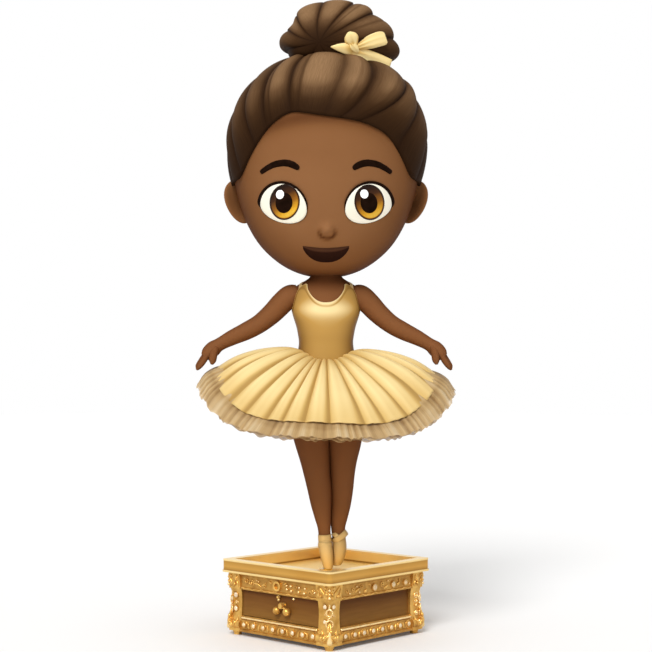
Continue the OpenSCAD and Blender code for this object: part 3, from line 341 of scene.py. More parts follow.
def strand(path, radii, sides=10):
    """Points and faces of a rounded strand along a path, closed at both ends."""
    path = [Vector(p) for p in path]
    points = []
    normal = None
    for i, p in enumerate(path):
        before, after = either_side(path, i)
        tangent = (after - before).normalized()
        if normal is None:
            normal = tangent.orthogonal().normalized()
        normal = (normal - tangent * normal.dot(tangent)).normalized()
        side = tangent.cross(normal)
        r = radii[i] if hasattr(radii, "__len__") else radii
        for a in around(sides):
            points.append(tuple(p + normal * (r * math.cos(a)) + side * (r * math.sin(a))))
    return points, closed_faces(len(path), sides)


def bead(centre, r, rows=9, sides=14):
    points = []
    for i in range(rows):
        t = math.pi * (i + 0.5) / rows - math.pi / 2
        for a in around(sides):
            points.append((centre[0] + r * math.cos(t) * math.cos(a),
                           centre[1] + r * math.cos(t) * math.sin(a),
                           centre[2] + r * math.sin(t)))
    return points, closed_faces(rows, sides)


def stand_out(out, w):
    """A side's reach at height w: out is a plain reach, or a profile that gives one."""
    return out(w) if callable(out) else out


def curl(k, out, u, w, size, start, turns, fat=0.42, steps=26):
    """A scroll that opens out from its eye at (u, w) and is fattest at the eye."""
    path, radii = [], []
    for i in range(steps):
        t = i / (steps - 1)
        a = start + 2 * math.pi * turns * t
        r = size * (0.10 + 0.90 * t ** 0.85)
        up = w + r * math.sin(a)
        path.append(on_side(k, u + r * math.cos(a), up, stand_out(out, up) + 0.25 * math.sin(math.pi * t)))
        radii.append(fat * (1.25 - 0.75 * t) if t > 0.06 else fat * 1.5)
    return strand(path, radii)


def leaf(k, out, u0, w0, u1, w1, wide, bend=0.0, steps=12, sides=10):
    """A domed leaf lying on a side, from its stalk at (u0, w0) to its tip at (u1, w1)."""
    du, dw = u1 - u0, w1 - w0
    length = math.hypot(du, dw)
    nu, nw = -dw / length, du / length
    points = []
    for i in range(steps + 1):
        t = i / steps
        half = wide * math.sin(math.pi * min(1, t * 0.97 + 0.03)) ** 0.75 * (1.15 - 0.5 * t)
        off = bend * math.sin(math.pi * t)
        for a in around(sides):
            across = half * math.cos(a) + off
            lift = (0.25 + 0.55 * math.sin(math.pi * t)) * math.sin(a) * (0.75 + 0.35 * abs(math.cos(a)))
            up = w0 + dw * t + nw * across
            points.append(on_side(k, u0 + du * t + nu * across, up, stand_out(out, up) + lift))
    return points, closed_faces(steps + 1, sides)


def applied(name, parts, material, body="casket"):
    """Small castings joined into one gilded piece."""
    points, faces = [], []
    for part_points, part_faces in parts:
        start = len(points)
        points += list(part_points)
        faces += [tuple(i + start for i in face) for face in part_faces]
    return make_piece(name, points, faces, material, body)


relief_gilt = gilt("relief_gilt", (0.88, 0.54, 0.15), (0.50, 0.25, 0.045), 0.30, 300)
bright_gilt = gilt("bright_gilt", (1.0, 0.78, 0.42), (0.88, 0.58, 0.22), 0.25, 200)
frieze_face = 37.55
drawer_relief = (
    (curl, -24.6, 30.4, 2.1, 2.4, 1.2), (curl, -20.8, 29.9, 2.0, 0.6, -1.2),
    (leaf, -18.5, 29.8, -13.2, 28.3, 0.9, 0.5), (leaf, -13.0, 28.8, -8.8, 31.5, 0.8, -0.5),
    (curl, -10.4, 28.7, 1.3, 3.4, 1.0, 0.32), (leaf, -7.4, 32.3, -4.8, 30.9, 0.55),
    (leaf, 3.6, 31.0, 6.8, 32.5, 0.6), (curl, 13.2, 30.4, 1.5, 2.8, 1.1, 0.34),
    (curl, 25.4, 29.8, 1.8, 0.2, 1.2), (leaf, 22.2, 28.2, 25.2, 30.6, 0.7, 0.3))
drawer_seeds = (
    (6.6, 31.0, 0.62), (9.8, 31.1, 0.80), (6.9, 29.1, 0.72), (10.1, 28.5, 0.78), (16.0, 30.9, 0.70),
    (20.4, 30.8, 0.70), (15.6, 28.5, 0.72), (19.6, 28.3, 0.72), (27.3, 29.3, 0.60), (-14.8, 31.0, 0.45),
    (-16.0, 31.7, 0.4))
panel_relief = (
    (curl, -24.4, 29.6, 1.5, 2.4, 1.1, 0.34), (curl, -19.6, 29.9, 1.3, 5.6, -1.1, 0.32),
    (leaf, -17.6, 28.2, -13.6, 30.6, 0.75, 0.4), (curl, -12.4, 30.9, 1.4, 3.9, 1.1, 0.34),
    (leaf, -10.4, 27.4, -8.6, 29.6, 1.0), (leaf, -7.6, 31.8, -5.2, 30.1, 0.6, 0.4),
    (curl, 4.4, 30.6, 1.6, 4.1, 1.1, 0.36), (leaf, 5.6, 28.0, 8.8, 30.1, 0.7, -0.3),
    (leaf, 16.6, 28.2, 19.6, 30.9, 0.75, 0.3), (curl, 18.6, 31.5, 1.1, 1.0, 1.0, 0.3))
panel_seeds = (
    (-22.2, 28.3, 0.6), (-16.8, 31.5, 0.5), (-14.6, 28.2, 0.55), (8.6, 31.9, 0.5), (26.8, 28.5, 0.5))


def wavy_edge(k):
    """The rippled bead along the frieze's foot."""
    path = []
    for i in range(81):
        height = 26.35 + 0.28 * math.sin(i * 0.9) + 0.2 * math.sin(i * 0.37)
        path.append(on_side(k, -28.6 + 57.2 * i / 80, height, frieze_face + 0.42))
    return strand(path, 0.34)


scrolls, seeds = [], []
for k in range(4):
    if k % 2 == 0:
        relief, dots, proud = drawer_relief, drawer_seeds, 0.35
    else:
        relief, dots, proud = panel_relief, panel_seeds, 0.3
    scrolls += [shape(k, frieze_face, *sizes) for shape, *sizes in relief]
    seeds += [bead(on_side(k, u, w, frieze_face + proud), r) for u, w, r in dots]
    scrolls.append(wavy_edge(k))
applied("frieze_scrollwork", scrolls, relief_gilt)
applied("frieze_seed_beads", seeds, bright_gilt)


# ---------------------------------------------------------------- post heads and scroll feet
# Leaf scrolls in gilt brass over each post head, and scrolls with a leaf that curl out below as
# feet. They are cast apart and soldered on, bent to the hollow profile of the post.
def post_face(w):
    """How far a post stands out at height w: hollow shaft, stepped head and the roll of its foot."""
    roll_height, roll_r, roll_middle = 6.2, 2.3, 37.1
    if w > 25.6:
        return 38.4 + 0.8 * ((w - 25.6) / 8.9) ** 2
    shaft = 36.6 + (0.8 * ((w - 18.5) / 7.1) ** 2 if w > 18.5 else 2.2 * ((18.5 - w) / 16) ** 2)
    if abs(w - roll_height) < roll_r:
        return max(shaft, roll_middle + math.sqrt(max(0.0, roll_r ** 2 - (w - roll_height) ** 2)))
    return shaft


heads, scroll_feet = [], []
for k in range(4):
    for side in (-1, 1):
        heads += [leaf(k, post_face, side * 36.6, 26.8, side * 31.2, 33.6, 1.5, side * 0.7),
                  leaf(k, post_face, side * 33.6, 26.4, side * 37.6, 33.0, 1.2, -side * 0.5),
                  curl(k, post_face, side * 36.0, 32.3, 1.6, 0.4 if side > 0 else 2.7, 1.15 * side, 0.5),
                  curl(k, post_face, side * 31.6, 31.4, 1.5, 2.6 if side > 0 else 0.5, -1.1 * side, 0.42),
                  leaf(k, post_face, side * 30.2, 26.8, side * 31.0, 30.2, 0.8),
                  bead(on_side(k, side * 32.6, 28.2, 38.9), 0.9),
                  bead(on_side(k, side * 36.9, 29.6, 39.0), 0.8)]
        path, radii = [], []
        for i in range(34):
            t = i / 33
            a = -0.6 + 2 * math.pi * 1.15 * t
            r = 3.1 * (1 - 0.78 * t)
            up = 7.2 + 1.15 * r * math.sin(a + 1.9)
            path.append(on_side(k, side * (35.7 + r * math.cos(a - 0.2)), up, post_face(up) + 0.1 + 0.4 * t))
            radii.append(0.85 - 0.25 * t)
        scroll_feet += [strand(path, radii),
                        leaf(k, post_face, side * 36.4, 15.0, side * 37.6, 6.2, 1.15, side * 0.8),
                        leaf(k, post_face, side * 31.4, 10.8, side * 33.2, 3.4, 1.0, side * 0.4),
                        bead(on_side(k, side * 35.4, 7.0, 39.6), 1.1)]
applied("corner_leaf_scrolls", heads, relief_gilt)
applied("scroll_feet", scroll_feet, relief_gilt)


# ---------------------------------------------------------------- post chains
# Bright gilt wire bent into links and a twist down each corner edge, with curls, rings and small
# beads on the post faces between the stones. Each length is soldered to its post.
def at_corner(k, across, w, out):
    radial = math.radians(90 * k - 45)
    return (out * math.cos(radial) - across * math.sin(radial),
            out * math.sin(radial) + across * math.cos(radial), w)


def wire(places, fat):
    return strand(list(places), fat)


corner_reach = 52.2
full_turn = 2 * math.pi
links, post_beads = [], []
for k in range(4):
    for w, r, lean in ((19.7, 1.75, 0.5), (13.9, 1.95, -0.4)):
        links.append(wire((at_corner(k, r * math.cos(a) * 0.92, w + r * math.sin(a),
                                     corner_reach + lean * math.cos(a))
                           for a in np.linspace(0.2, 0.2 + full_turn, 33)), 0.42))
    links.append(wire((at_corner(k, 0.9 * math.sin(full_turn * t), 17.4 - 2.0 * t + 0.6,
                                 corner_reach + 0.5 * math.cos(full_turn * t))
                       for t in np.linspace(0, 1, 15)), 0.36))
    links.append(wire((at_corner(k, 0.15 * math.sin(6 * t), 24.2 - 2.6 * t, corner_reach - 0.1)
                       for t in np.linspace(0, 1, 9)), 0.34))
    links.append(wire((at_corner(k, -1.0 + 0.5 * t, 12.6 - 2.6 * t, corner_reach - 0.2)
                       for t in np.linspace(0, 1, 9)), 0.5))
    post_beads += [bead(at_corner(k, 0, w, 53.9), r) for w, r in ((31.6, 0.75), (29.6, 0.65), (27.6, 0.85))]
    if k % 2 == 0:
        links += [curl(k, post_face, -33.2, 18.2, 1.0, 1.2, 0.8, 0.35),
                  curl(k, post_face, 33.6, 18.7, 0.9, 3.2, 0.8, 0.3)]
        continue
    for w, r, start, end in ((21.2, 1.35, 0, full_turn), (18.6, 1.2, 3.3, 6.1), (11.6, 1.1, 0, full_turn)):
        links.append(wire((on_side(k, 33.6 + r * math.cos(a), w + r * math.sin(a), post_face(w) + 0.2)
                           for a in np.linspace(start, end, 25)), 0.38))
    post_beads += [bead(on_side(k, 33.6, w, post_face(w) + 0.3), r)
                   for w, r in ((15.8, 0.85), (11.6, 0.7), (7.4, 0.7))]
    links.append(curl(k, post_face, -33.4, 18.2, 1.0, 1.2, 0.8, 0.35))
applied("post_chains", links, bright_gilt)
applied("post_beads", post_beads, bright_gilt)


# ---------------------------------------------------------------- plinth mouldings
# A bright gilt cord is soldered over the plinth's row of stones. Small arcs stand round the eight
# stones of each side, and a leaf in each of the seven gaps, cast with the plinth rails.
cords, arcs = [], []
for k in range(4):
    cords.append(wire((on_side(k, -28.8 + 57.6 * i / 60, 10.0, 37.5) for i in range(61)), 0.62))
    for i in range(8):
        u = -26 + 52 * i / 7
        arcs.append(wire((on_side(k, u + 2.1 * math.cos(a), 6.4 + 1.9 * math.sin(a), 37.7)
                          for a in np.linspace(0.3 + (i % 2), 3.6 + (i % 2), 15)), 0.32))
        if i < 7:
            arcs.append(leaf(k, 37.6, u + 3.71, 4.2, u + 3.71 + (0.8 if i % 2 else -0.8), 8.0, 0.7, 0.2))
applied("plinth_cord", cords, bright_gilt)
applied("plinth_arcs", arcs, relief_gilt)


# ---------------------------------------------------------------- bead on the drawer
# One more bright gilt bead is pinned to the drawer front beside the string of beads,
# so it slides out with the drawer.
applied("single_bead_drop", [bead(on_side(0, 10.8, 24.3, 36.6), 0.8)], bright_gilt, body="drawer")


# ---------------------------------------------------------------- head and ears
# The dancer is moulded in vinyl and painted in soft skin colours. The head is a hollow, squarish
# egg with nose, cheeks and eye hollows modelled in, and a cupped ear moulded on each side.
dancer_turn = math.radians(43)


def dancer_piece(name, points, faces, material, node, shade=None, uv=None):
    """A piece of the dancer, modelled facing -Y and turned to the corner by the drawer."""
    return make_piece(name, points, faces, material, "figure", [node], dancer_turn, uv, shade)


def by_shade(tree, stops):
    """Colours along the shade that is painted on the piece, from 0 to 1."""
    painted = tree.nodes.new("ShaderNodeAttribute")
    painted.attribute_name = "shade"
    return ramp(tree, painted.outputs["Fac"], stops)


# Skin colour runs by the painted shade value: from the darkest painted shade, through deep, to light where
# the skin is lit.
def skin_material(name, light, deep, edge_shade):
    material, tree, shader = new_material(name, 0.6, specular=0.02)
    shader.inputs["Subsurface Weight"].default_value = 0.06
    shader.inputs["Subsurface Radius"].default_value = (0.006, 0.003, 0.0015)
    paint = by_shade(tree, [(0.0, edge_shade), (0.5, deep), (1.0, light)])
    mottled(tree, shader, 45, 3.0, (0.96, 0.95, 0.94), (1.0, 1.0, 1.0), paint)
    bump(tree, shader, grain(tree, 900), 0.02)
    return material


face_skin = skin_material("face_skin", (0.300, 0.136, 0.055), (0.222, 0.092, 0.033), (0.074, 0.021, 0.006))

# Half the head's width, its reach above and below its widest level, that level, and its squareness.
head_r, head_up, head_down, head_mid, head_power = 52.5, 52.5, 70.0, 268.0, 2.12
nose_x, nose_z = 0.6, 219.6
rows, columns = 120, 180
points, shade = [], []
for i in range(rows):
    t = -89.5 + 179 * i / (rows - 1)
    below = t < 0
    reach = head_down if below else head_up
    r = head_r * abs(math.cos(math.radians(t))) ** (2 / head_power)
    z = head_mid + (-reach if below else reach) * abs(math.sin(math.radians(t))) ** (2 / head_power)
    upright = (r / head_r) ** (head_power - 1)
    lean = (abs((z - head_mid) / reach) ** (head_power - 1)) * head_r / reach * (0.72 if below else 1.0)
    for a in around(columns):
        x, y = r * math.sin(a), -r * math.cos(a)
        # Behind its middle, under the hair, the head is painted in shade, a little lighter towards the back.
        if y >= 0:
            points.append((x, y, z))
            shade.append(0.08 + 0.24 * min(1.0, y / 22))
            continue
        drop = z - nose_z
        push = 4.4 * math.exp(-((x - nose_x) / 3.5) ** 2 - (drop / (3.8 if drop > 0 else 2.3)) ** 2)
        push += 0.9 * math.exp(-((abs(x) - 27) / 11) ** 2 - ((z - 221) / 9) ** 2)
        push -= 0.9 * math.exp(-((abs(x) - 22.2) / 12) ** 2 - ((z - 236) / 11) ** 2)
        push -= 0.7 * math.exp(-(x / 9) ** 2 - ((z - 201.5) / 3.0) ** 2)
        points.append((x + push * math.sin(a), y - push * math.cos(a), z))
        # Painted shade: the skin darkens where the face turns away from the front, round the underside of the
        # nose, below the hairline and on the forehead, with a small painted highlight on the nose.
        round_off = upright * (abs(y) / max(r, 1e-6)) / math.hypot(upright, lean)
        edge = min(1.0, round_off / 0.84) ** 1.35
        nose_ring = math.hypot((x - nose_x) / 4.1, drop / 3.3)
        lower = min(1.0, max(0.0, (222.4 - z) / 3.6))
        nose_and_forehead_shade = 0.95 * math.exp(-((nose_ring - 1.02) / 0.26) ** 2) * lower
        nose_and_forehead_shade -= 0.28 * math.exp(-((x + 0.2) / 2.0) ** 2 - ((z - 221.2) / 1.8) ** 2)
        nose_and_forehead_shade += 0.16 * min(1.0, max(0.0, (z - 246) / 14))
        hair_shadow = 0.55 * math.exp(-((z - 280 + (x / 15) ** 2) / 6) ** 2)
        shade.append(min(1.0, max(0.08, edge * (0.92 - nose_and_forehead_shade - hair_shadow))))
dancer_piece("head_shell", points, closed_faces(rows, columns), face_skin, "head", shade)

both_sides = ((-1, "left"), (1, "right"))
rows, columns = 14, 48
for side, name in both_sides:
    points, shade = [], []
    for i in range(rows):
        s = i / (rows - 1)
        swell = math.sin(min(1, s * 1.35) * math.pi / 2) if s < 0.74 else math.cos((s - 0.74) / 0.26 * 0.9)
        bowl, roll = math.cos(min(1, s / 0.6) * math.pi / 2), math.sin(min(1, s / 0.8) * math.pi)
        cup = -2.4 * bowl ** 2 + 1.2 * roll if s < 0.8 else -6.0 * ((s - 0.8) / 0.2)
        for a in around(columns):
            across = (9.4 + 1.6 * math.sin(a)) * math.cos(a) * swell
            up = 12.6 * math.sin(a) * swell
            points.append((side * (47.6 + across + 0.10 * up), 3.0 - cup - 0.35 * across, 241.4 + up))
            # Painted shade: darker in the hollow of the cup and on its lower side, and dark behind, where the
            # ear meets the head.
            shade.append(0.44 + 0.36 * min(1, s / 0.7) + 0.12 * math.sin(a) if s < 0.8 else 0.2)
    faces = closed_faces(rows, columns)
    if side > 0:
        faces = [tuple(reversed(face)) for face in faces]
    dancer_piece("ear_%s" % name, points, faces, face_skin, "head", shade)


# ---------------------------------------------------------------- eyes
# Thin domed plaques of painted plastic let into the face one over another: a dark lash line, the
# white, the iris, the pupil and a catchlight. White, iris and catchlight have a glossy coat.
def head_width(z):
    reach = head_down if z < head_mid else head_up
    return head_r * max(0.0, 1 - (abs(z - head_mid) / reach) ** head_power) ** (1 / head_power)


def on_face(x, z, lift):
    r = head_width(z)
    return (x, -math.sqrt(max(0.0, r * r - x * x)) - lift, z)


def plaque(name, outline, lift, material, node, rows=10, tone=lambda x, z: 1.0):
    """A plaque inside an outline of (x, z), standing proud by lift and sunk 1 mm at its edge."""
    count = len(outline)
    mid_x, mid_z = sum(p[0] for p in outline) / count, sum(p[1] for p in outline) / count
    points, shade = [], []
    for i in range(rows + 1):
        s = max(i / rows, 0.01)
        for u, v in outline:
            x, z = mid_x + (u - mid_x) * s, mid_z + (v - mid_z) * s
            points.append(on_face(x, z, lift(x, z)))
            shade.append(tone(x, z))
    for u, v in outline:
        points.append(on_face(u, v, -1.0))
        shade.append(tone(u, v))
    dancer_piece(name, points, closed_faces(rows + 2, count), material, node, shade)


def oval(x, z, across, up, count=48):
    return [(x + across * math.cos(a), z + up * math.sin(a)) for a in around(count)]


eye_enamel, tree, shader = new_material("eye_white_gloss", 0.30, coat=0.10, specular=0.3)
# Painted light: the white glows faintly, as if lit.
shader.inputs["Emission Color"].default_value = (1.0, 0.95, 0.85, 1)
shader.inputs["Emission Strength"].default_value = 0.10
mottled(tree, shader, 60, 2.0, (0.93, 0.87, 0.70), (0.96, 0.92, 0.80))

dark_paint, tree, shader = new_material("dark_paint", 0.6, specular=0.01)
mottled(tree, shader, 300, 2.0, (0.009, 0.004, 0.002), (0.017, 0.007, 0.004))
bump(tree, shader, grain(tree, 700), 0.04)

iris_enamel, tree, shader = new_material("iris_gloss", 0.30, coat=0.06, specular=0.1)
amber = by_shade(tree, [(0.0, (0.014, 0.005, 0.002)), (0.30, (0.060, 0.018, 0.003)),
                        (0.62, (0.34, 0.125, 0.008)), (0.88, (0.84, 0.42, 0.02)), (1.0, (0.96, 0.58, 0.06))])
mottled(tree, shader, 700, 2.0, (0.86, 0.84, 0.80), (1, 1, 1), amber)

glint_enamel, tree, shader = new_material("catchlight", 0.2, coat=0.5)
# The catchlight is a painted highlight: a white dot that also glows.
shader.inputs["Emission Strength"].default_value = 0.4
shader.inputs["Emission Color"].default_value = (1, 1, 1, 1)
mottled(tree, shader, 60, 1.0, (0.97, 0.96, 0.95), (1, 1, 1))

eye_x, eye_z, eye_w = 22.8, 232.9, 12.6
iris_w, iris_h = 8.2, 9.1
for side, name in both_sides:
    def lid(lash):
        """The outline of the open eye, or with its lash, which is thick along the upper lid."""
        outline = []
        for a in around(80):
            c, s = math.cos(a), math.sin(a)
            outer = side * c
            up = 11.7 * s ** 1.04 if s > 0 else -8.1 * abs(s) ** 1.02
            thick = 0.0
            if lash:
                upper = max(0.0, min(1.0, (s + 0.12 + 0.10 * outer) / 0.35))
                thick = 0.18 + (1.25 + 0.45 * outer) * upper
            grow = 1 + thick / (math.hypot(eye_w * c, up) or 1)
            slant = 2.3 * outer * (1 - 0.25 * s)
            outline.append((side * eye_x + eye_w * c * grow, eye_z + slant + up * grow))
        return outline

    def bulge(x, z):
        across, up = (x - side * eye_x) / eye_w, (z - eye_z) / (11.9 if z > eye_z else 8.2)
        return 0.50 + 0.85 * (1 - min(1.0, across * across + up * up))

    iris_x, iris_z = (-22.05, 235.3) if side < 0 else (23.2, 235.3)
    glint_x = iris_x - 2.4 - (side > 0) * 0.5

    # The iris is painted dark at the top and bright gold low on the right, as painted shade and light, inside
    # a dark rim.
    def iris_tone(x, z):
        across, up = (x - iris_x) / iris_w, (z - iris_z) / iris_h
        lit = 0.5 + 0.5 * (across * 0.40 - up * 0.95)
        rim = math.hypot(across, up)
        return max(0.0, min(1.0, -0.10 + 1.25 * lit)) * (1 if rim < 0.87 else max(0.0, (0.96 - rim) / 0.09))

    plaque("lash_line_%s" % name, lid(True), lambda x, z: 0.42, dark_paint, "lash_lines")
    plaque("eye_white_%s" % name, lid(False), bulge, eye_enamel, "eye_whites")
    plaque("iris_%s" % name, oval(iris_x, iris_z, iris_w, iris_h), lambda x, z: bulge(x, z) + 0.14,
           iris_enamel, "irises", rows=16, tone=iris_tone)
    plaque("pupil_%s" % name, oval(iris_x - 0.3, iris_z - 0.5, 4.6, 5.2), lambda x, z: bulge(x, z) + 0.24,
           dark_paint, "pupils")
    plaque("catchlight_%s" % name, oval(glint_x, iris_z + 3.9, 2.15, 2.3), lambda x, z: bulge(x, z) + 0.34,
           glint_enamel, "pupils")


# ---------------------------------------------------------------- eyebrows
# Each brow is a slim raised strip laid along an arc over the eye, painted the same matt dark brown
# as the lashes. Its rows are x, z and half the strip's thickness.
def ring_piece(name, rings, material, node, shade=None, capped=True):
    """A piece of the dancer made of rings of points, one after another."""
    rows, columns = len(rings), len(rings[0])
    faces = closed_faces(rows, columns) if capped else grid_faces(rows, columns)
    return dancer_piece(name, np.array(rings).reshape(-1, 3), faces, material, node, shade)


brow_line = [(35.1, 251.5, 1.0), (34.3, 252.1, 1.35), (32.0, 253.4, 1.5), (28.7, 254.8, 1.65),
             (26.0, 255.4, 1.75), (22.4, 255.6, 1.8), (19.6, 255.1, 1.8), (17.4, 254.2, 1.75),
             (15.4, 252.9, 1.5), (14.3, 251.9, 1.0)]
brow_steps, brow_tip, brow_proud, brow_sunk = 30, 0.5, 0.55, 0.8
brow_section = [(v, brow_proud * (1 - v * v) ** 0.5) for v in np.linspace(-1, 1, 9)]
brow_section += [(v, -brow_sunk) for v in (1, 0, -1)]
for side, name in both_sides:
    line = []
    for i in range(brow_steps + 1):
        f = i / brow_steps * (len(brow_line) - 1)
        k = min(int(f), len(brow_line) - 2)
        t = f - k
        x, z, fat = (a + (b - a) * t for a, b in zip(brow_line[k], brow_line[k + 1]))
        line.append((side * x, z, brow_tip if i in (0, brow_steps) else fat))
    rings = []
    for i, (x, z, fat) in enumerate(line):
        before, after = either_side(line, i)
        dx, dz = after[0] - before[0], after[1] - before[1]
        length = math.hypot(dx, dz)
        ring = []
        for v, lift in brow_section:
            px, pz = x - dz / length * fat * v, z + dx / length * fat * v
            r = head_width(pz) + lift
            ring.append((px, -math.sqrt(max(0, r * r - px * px)), pz))
        rings.append(ring)
    ring_piece("eyebrow_%s" % name, rings, dark_paint, "eyebrows")


# ---------------------------------------------------------------- mouth
# A smile laid on the face as a thin domed skin, painted a matt dark brown that turns a little paler
# in a band under the upper lip.
mouth_z, mouth_w, mouth_deep = 213.1, 13.0, 8.5
mouth_material, tree, shader = new_material("mouth_paint", 0.6, specular=0.02)
smile = by_shade(tree, [(0.0, (0.018, 0.006, 0.004)), (0.66, (0.030, 0.010, 0.006)),
                                       (0.80, (0.085, 0.034, 0.018)), (1.0, (0.070, 0.028, 0.015))])
tree.links.new(smile, shader.inputs["Base Color"])
bump(tree, shader, grain(tree, 300), 0.04)
rows, columns = 13, 33
points, shade = [], []
for i in range(rows):
    v = i / (rows - 1)
    for j in range(columns):
        u = -1 + 2 * j / (columns - 1)
        top = -1.5 * (1 - u * u)
        bottom = -mouth_deep * (1 - abs(u) ** 2.4) ** 0.72
        z = mouth_z + bottom + (top - bottom) * v
        r = head_width(z) + 0.28 * (1 - abs(u) ** 6)
        x = mouth_w * u
        points.append((x, -math.sqrt(r * r - x * x), z))
        shade.append(v)
faces = grid_faces(rows, columns, wrap=False)
dancer_piece("mouth_smile", points, faces, mouth_material, "mouth", shade)


# ---------------------------------------------------------------- hair
# A moulded vinyl cap over the head, its rolled strands drawn up from the hairline and swept round
# to the bun. Its colour is painted shade and light: dark brown in the grooves and a chestnut
# painted highlight on the crests.
def smooth_step(x, a, b):
    t = np.clip((x - a) / (b - a), 0.0, 1.0)
    return t * t * (3 - 2 * t)


def strand_columns(places, deep, per):
    """Each column's place, share across its strand, strand number and depth of its groove."""
    place, share, number, depth = [], [], [], []
    for k in range(len(places) - 1):
        for m in range(per):
            s = m / per
            place.append(places[k] + (places[k + 1] - places[k]) * s)
            share.append(s)
            number.append(k)
            depth.append(deep[k] + (deep[(k + 1) % (len(places) - 1)] - deep[k]) * s)
    return np.array(place), np.array(share), np.array(number), np.array(depth)


def strand_light(share, depth, width):
    """Painted light across a strand of a width in degrees: soft painted shade in the grooves and a broad
    painted highlight on the crest.
    """
    near = np.minimum(share, 1 - share) * width
    groove = 0.55 * np.exp(-(near / 0.9) ** 2) + 0.45 * np.exp(-(near / 3.2) ** 2)
    return (0.62 + 0.38 * np.sin(np.pi * share) ** 0.7) * (1 - 0.92 * depth * groove)


hair_material, tree, shader = new_material("hair_gloss", 0.62, specular=0.02)
hair_shade_to_highlight = by_shade(tree, [(0.0, (0.024, 0.010, 0.004)), (0.30, (0.060, 0.028, 0.011)),
                                          (0.62, (0.138, 0.072, 0.032)), (1.0, (0.320, 0.186, 0.090))])
fine_strands = mottled(tree, shader, 7, 4.0, (0.72, 0.69, 0.66), (1.0, 1.0, 1.0), hair_shade_to_highlight,
                       stretch=(1.2, 22, 1), place="UV")
bump(tree, shader, fine_strands, 0.12, 0.0003)

# Grooves, hairline and sweep go by degrees round the head, from the back over the left side.
grooves = [-180, -150, -122, -98, -78, -60, -45, -36, -21, -1, 8, 19, 46, 70, 96, 124, 152, 180]
groove_depth = [1, 1, 1, 1, 1, 1, 1, 1, 1, 0.35, 0.9, 1, 1, 1, 1, 1, 1]
hairline = np.array([(-180, 219), (-140, 222), (-112, 232), (-98, 250), (-63, 251), (-58, 255), (-48, 263.5),
                     (-35, 276), (-22, 283), (-3, 280), (22, 277), (38, 272), (48, 263), (57, 255),
                     (62, 251), (98, 250), (112, 232), (140, 222), (180, 219)])
sweep = np.array([(-180, -180), (-110, -155), (-78, -138), (-60, -124), (-45, -100), (-36, -62), (-21, -33),
                  (-1, 30), (8, 62), (19, 136), (46, 168), (96, 174), (180, 180)])
top_latitude = 83
b, share, number, depth = strand_columns(grooves, groove_depth, 20)
start_z = sum(np.interp(b + d, hairline[:, 0], hairline[:, 1]) for d in (-5, -2.5, 0, 2.5, 5)) / 5
end = np.interp(b, sweep[:, 0], sweep[:, 1])
pace = np.interp(b, (-1, 8, 19, 46, 96), (1, 0.75, 0.83, 1.2, 1))
gap = np.abs(start_z - head_mid) / np.where(start_z < head_mid, head_down, head_up)
low = np.degrees(np.arcsin(np.minimum(1, gap ** (head_power / 2)))) * np.where(start_z < head_mid, -1, 1)
crest = 1 - depth * (1 - np.sin(np.pi * share) ** 0.6)
parting = np.where((number == 7) | (number == 8), np.exp(-((share - 0.24) / 0.045) ** 2), 0.0) * 0.8
parting += np.where((number == 12) | (number == 10) | (number == 9),
                    np.exp(-((share - 0.62) / 0.05) ** 2), 0.0) * 0.25
width = np.array([grooves[k + 1] - grooves[k] for k in number], dtype=float)
rows = 72
points, shade, uv = [], [], []
for i in range(-1, rows + 1):
    v = max(i, 0) / rows
    t = low + (top_latitude - low) * v
    a = np.radians(b + (end - b) * v ** pace)
    grow = (1.1 + 3.1 * np.sin(np.pi / 2 * min(1, v * 3 + 0.12)) ** 0.8 * (0.3 + 0.7 * crest)
            - 0.35 * parting * min(1, v * 6))
    if i < 0:
        grow = -0.8 + 0 * b
    cos_t = np.abs(np.cos(np.radians(t))) ** (2 / head_power)
    sin_t = np.abs(np.sin(np.radians(t))) ** (2 / head_power)
    r = (head_r + grow) * cos_t
    z = head_mid + np.where(t < 0, -(head_down + grow), head_up + grow) * sin_t
    fuller = (2.8 * np.maximum(0, np.sin(a)) ** 3 * np.exp(-((z - 308) / 17) ** 2)
              + 1.6 * np.maximum(0, np.sin(a)) ** 4 * np.exp(-((z - 270) / 24) ** 2)) * min(1, v * 5)
    r = r + fuller
    points += list(zip(r * np.sin(a), -r * np.cos(a), z + 0.5 * fuller))
    # Painted shade: dark at the hairline and towards the bun, darker on the sides and along the partings, and
    # lighter towards the front.
    mid_height_light = smooth_step(v, 0.0, 0.34) * (1 - 0.62 * smooth_step(v, 0.62, 1.0))
    front_light = (0.78 + 0.22 * np.cos(a - 0.45)) * (1 - 0.42 * np.abs(np.sin(a)) ** 5)
    shade += list(strand_light(share, depth, width) * (1 - 0.65 * parting) * (0.10 + 0.90 * mid_height_light) * front_light)
    uv += list(zip(0 * b + v, (number + share) * 0.37))
faces = closed_faces(rows + 2, len(b))
dancer_piece("hair_rolls", points, faces, hair_material, "hair_cap", shade, uv)


